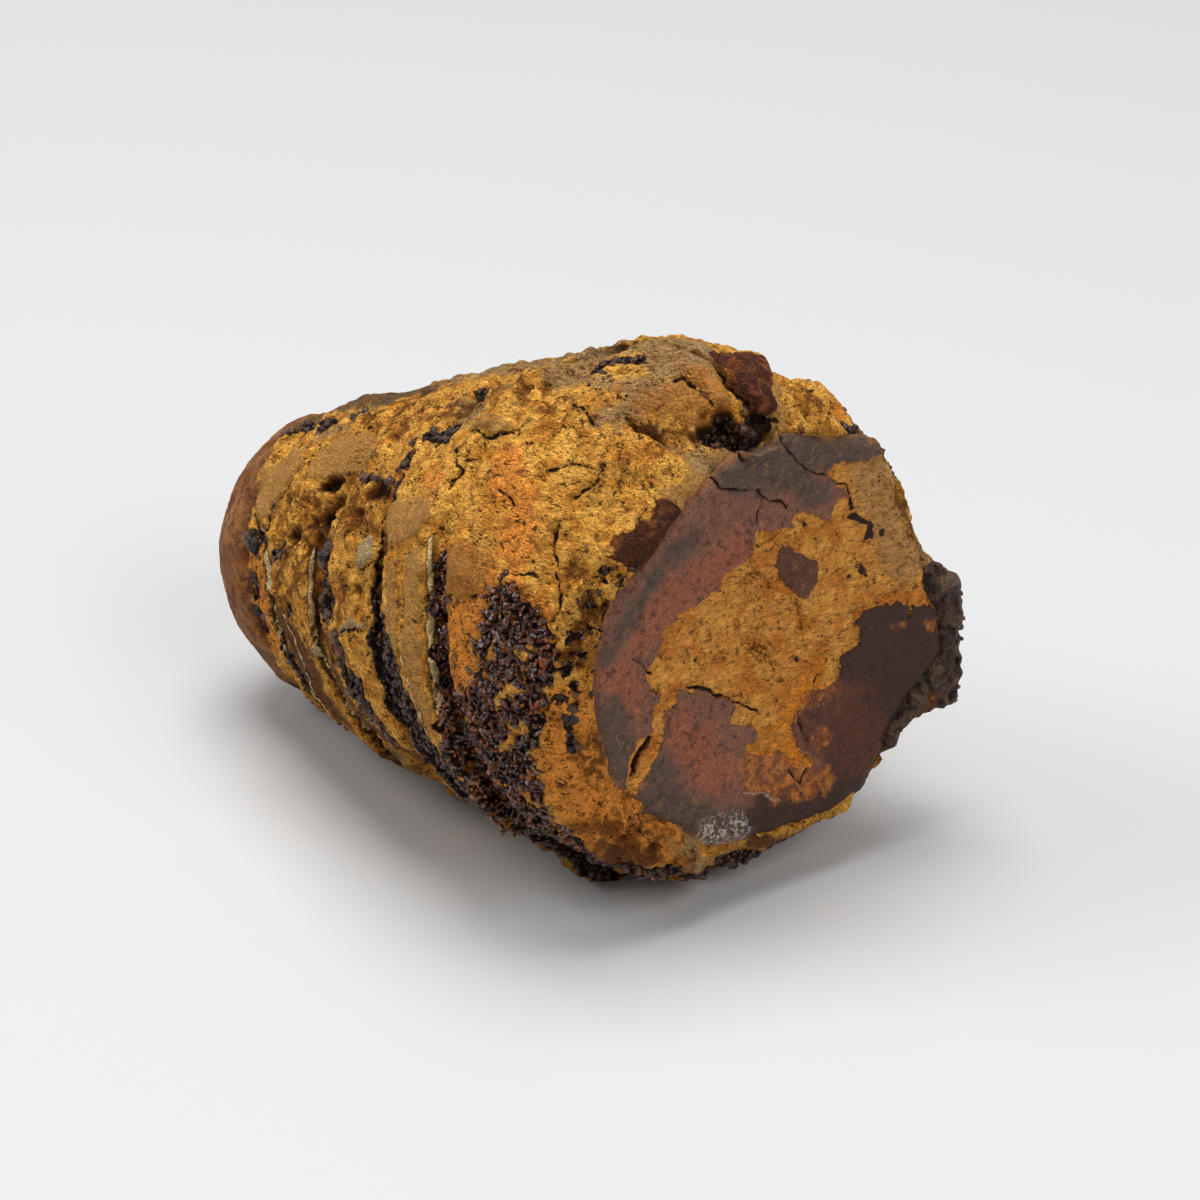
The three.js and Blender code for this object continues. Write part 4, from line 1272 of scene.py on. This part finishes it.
def scatter(surface, weight, spacing, random):
    """Random places on a mesh, closer where its weight is greater, with their normals."""
    corners = surface.corners
    a, b, c = (surface.places[corners[:, i]] for i in range(3))
    areas = np.linalg.norm(np.cross(b - a, c - a), axis=1) / 2 * weight[corners].mean(axis=1)
    count = int(areas.sum() / spacing**2)
    chosen = random.choice(len(areas), size=count, p=areas / areas.sum())
    u, v = random.random((2, count, 1))
    u, v = np.where(u + v > 1, 1 - u, u), np.where(u + v > 1, 1 - v, v)
    places = a[chosen] + u * (b - a)[chosen] + v * (c - a)[chosen]
    return places, surface.normals[corners[chosen, 0]]


def leaning(normals, spread, random):
    """Directions about some normals, the wider the spread the more at random."""
    axes = normals + random.normal(size=normals.shape) * spread
    return axes / np.linalg.norm(axes, axis=1, keepdims=True)


def grown(name, unit, places, axes, widths, lengths, random):
    """One mesh of many copies of a unit shape, each along its own axis, with a shade each."""
    shape = np.array([tuple(v.co) for v in unit.data.vertices])
    loops = [tuple(p.vertices) for p in unit.data.polygons]
    side = np.cross(axes, random.normal(size=axes.shape))
    side /= np.linalg.norm(side, axis=1, keepdims=True)
    other = np.cross(axes, side)
    scaled = shape[None] * np.stack([widths[:, 0], widths[:, 1], lengths], axis=1)[:, None]
    turned = scaled[..., :1] * side[:, None] + scaled[..., 1:2] * other[:, None]
    points = (places[:, None] + turned + scaled[..., 2:] * axes[:, None]).reshape(-1, 3)
    points[:, 2] = np.maximum(points[:, 2], OFF_TABLE)
    offsets = np.arange(len(places)) * len(shape)
    faces = [tuple(offset + v for v in loop) for offset in offsets.tolist() for loop in loops]
    mesh = bpy.data.meshes.new(name)
    mesh.from_pydata((points * MM).tolist(), [], faces)
    shades = mesh.attributes.new("shade", "FLOAT", "POINT")
    shades.data.foreach_set("value", np.repeat(random.random(len(places)), len(shape)))
    piece = bpy.data.objects.new(name, mesh)
    bpy.context.scene.collection.objects.link(piece)
    bpy.data.objects.remove(unit)
    return piece


bpy.ops.object.select_all(action="DESELECT")
bpy.ops.mesh.primitive_ico_sphere_add(subdivisions=1, radius=0.5)
knob = roughened(bpy.context.active_object, 0.09, 0.8, 3)

in_patch = smooth(patch, -0.05, 0.1) * (1 - smooth(black, -0.2, 0.1))
crusted = smooth(druse, -0.02, 0.12) * (1 - in_patch)
crusted *= (skin.places[:, 2] > 0.5) * (1 - behind_plate)
crusted *= (1 - 0.7 * smooth(ledge, -0.2, 0.2)) * (1 - smooth(tan, -0.1, 0.1))
crusted = most(crusted, 0.05 * smooth(ledge, -0.2, 0.2))
places, normals = scatter(skin, crusted, KNOB_SPACING, knobs_random)
sizes = knobs_random.uniform(0, 1, len(places)) ** 2
sizes = sizes * (KNOB_WIDTHS[1] - KNOB_WIDTHS[0]) + KNOB_WIDTHS[0]
widths = sizes[:, None] * knobs_random.uniform(0.7, 1.2, (len(places), 2))
lengths = sizes * knobs_random.uniform(0.7, 1.4, len(places))
axes = leaning(normals, KNOB_LEAN, knobs_random)
crust_knobs = grown("crust_knobs", knob, places, axes, widths, lengths, knobs_random)

# Larger beads in chains: (width, path).
BEAD_CHAINS = [
    (1.25, [(13, 155.6), (13.1, 159.4), (13.2, 162)]),
    (1.4, [(13.3, 165.6), (13.6, 169.4)]),
    (1.1, [(13.8, 173), (13.9, 175.4)]),
    (1.1, [(14.9, 178), (15.4, 182), (15.3, 187)]),
    (1, [(16.2, 190.6), (17, 195), (17.6, 200), (18.2, 206)]),
    (1.2, [(1.2, 158), (2.3, 156.4), (2, 161.4), (2, 164)]),
    (1.25, [(1.5, 171.6), (1, 174.6), (0.5, 178), (0, 181)]),
    (1.2, [(0.4, 187.4), (1.2, 190), (1.5, 195)]),
    (1, [(4.9, 162.4), (6.2, 160)]),
    (0.7, [(7.6, 174.6), (7.4, 177.4)]),
    (0.9, [(-1.7, 115.4), (-0.8, 113), (0.2, 111.2), (1.4, 110.4)]),
    (1, [(3.6, 112.4), (4.4, 113.6), (4.4, 117.4)]),
    (0.8, [(6.4, 110.4), (8, 110)]),
    (0.8, [(19.4, 127)]),
    (1, [(20.6, 124), (21.8, 123), (22.7, 123.4), (22.4, 126.6)]),
    (0.65, [(19.8, 130), (19.6, 134)]),
    (0.6, [(20.1, 138.6), (13.7, 135)]),
    (0.7, [(30.3, 101.2), (31.3, 99.8), (32.3, 98)]),
    (1, [(38, 93), (38.3, 90), (38.5, 87)]),
    (1.1, [(36.3, 186), (36.1, 190)]),
    (0.9, [(35.7, 195.4), (35.6, 198)]),
    (1.1, [(30, 232), (32, 238)]),
]
bpy.ops.object.select_all(action="DESELECT")
bpy.ops.mesh.primitive_uv_sphere_add(segments=8, ring_count=5, radius=0.5)
bead = roughened(bpy.context.active_object, 0.14, 0.7, 4)

beads = []  # (nearest vertex, width)
for width, path in BEAD_CHAINS:
    for start, end in stretches(laid_out(path)):
        steps = max(1, round(np.linalg.norm(end - start) / (0.5 * width)))
        for step in range(steps):
            spot = start + (end - start) * step / steps
            spot = spot + knobs_random.normal(size=len(spot)) * BEAD_STRAY * width
            gaps = np.linalg.norm(skin.laid_flat - spot, axis=1) + 9 * behind_plate
            beads.append((np.argmin(gaps), width))
nearest, sizes = np.array(beads).T
nearest = nearest.astype(int)
widths = sizes[:, None] * knobs_random.uniform(0.5, 1.0, (len(beads), 2))
lengths = widths.mean(axis=1) * knobs_random.uniform(0.6, 0.9, len(beads))
axes = leaning(skin.normals[nearest], BEAD_LEAN, knobs_random)
beads = grown("beads", bead, skin.places[nearest], axes, widths, lengths, knobs_random)
beads.data.shade_smooth()
only(crust_knobs)
beads.select_set(True)
bpy.ops.object.join()

crust = Shader("hematite_crust")
knob_colour = crust.mix(crust.field("shade"), tone(28, 18, 13), tone(94, 64, 48))
rusty = (crust.noise(1.1, 3) + crust.field("shade") * 0.12).between(0.64, 0.72) * 0.6
knob_colour = crust.mix(rusty, knob_colour, BARK_BROWN)
crust_knobs.data.materials.append(crust.finish(
    crust.noise(0.2, 3), rise=0.14, Base_Color=knob_colour,
    Roughness=0.08 + crust.noise(0.3, 2) * 0.35, Specular_IOR_Level=0.35,
))
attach(crust_knobs, "root")


# --- Druse rods -----------------------------------------------------------------------
# Short rods of red-brown hematite that grew at every angle in the patch on the last chamber.
# They are fused to the filling; each is a six-sided rod with a blunt point.
ROD_SPACING = 0.31
ROD_LENGTHS = (0.4, 0.9)
ROD_WIDTH = 0.36
ROD_LEAN = 0.55
ROD_SUNK = 0.6  # the share of a rod's length that is below the surface

rods_random = np.random.default_rng(17)
bpy.ops.object.select_all(action="DESELECT")
bpy.ops.mesh.primitive_cylinder_add(vertices=6, radius=0.5, depth=1.0, location=(0, 0, 0.5))
rod = bpy.context.active_object
bpy.ops.object.mode_set(mode="EDIT")
bpy.ops.mesh.select_all(action="DESELECT")
for rod_face in bmesh.from_edit_mesh(rod.data).faces:
    rod_face.select_set(rod_face.normal.z > 0.9)
bpy.ops.mesh.inset(thickness=0.24)
bpy.ops.transform.translate(value=(0.06, 0.0, 0.16))
bpy.ops.object.mode_set(mode="OBJECT")
bpy.ops.object.transform_apply(location=True, rotation=True, scale=True)

rod_growth = in_patch * smooth(druse, -0.05, 0.15) * (1 - smooth(tan, -0.4, -0.2))
places, normals = scatter(skin, rod_growth, ROD_SPACING, rods_random)
upright = rods_random.uniform(0.1, 1.0, (len(places), 1))
axes = leaning(normals * upright, ROD_LEAN, rods_random)
lengths = rods_random.uniform(*ROD_LENGTHS, len(places))
widths = ROD_WIDTH * rods_random.uniform(0.5, 1.2, (len(places), 1))
widths = widths * rods_random.uniform(0.6, 1, (len(places), 2))
roots = places - axes * lengths[:, None] * ROD_SUNK
druse_rods = grown("druse_rods", rod, roots, axes, widths, lengths, rods_random)

rods = Shader("hematite_rods")
rod_shade = rods.field("shade")
rod_colour = rods.mix(rod_shade, tone(24, 12, 9), tone(104, 58, 42))
rod_rust = (rods.noise(0.9, 3) + rod_shade * 0.1).between(0.58, 0.68) * 0.8
rod_colour = rods.mix(rod_rust, rod_colour, tone(146, 80, 30))
druse_rods.data.materials.append(rods.finish(
    rods.noise(0.12, 2), rise=0.03, Base_Color=rod_colour,
    Roughness=0.1 + rods.noise(0.4, 2) * 0.3, Specular_IOR_Level=0.7,
))
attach(druse_rods, "root")
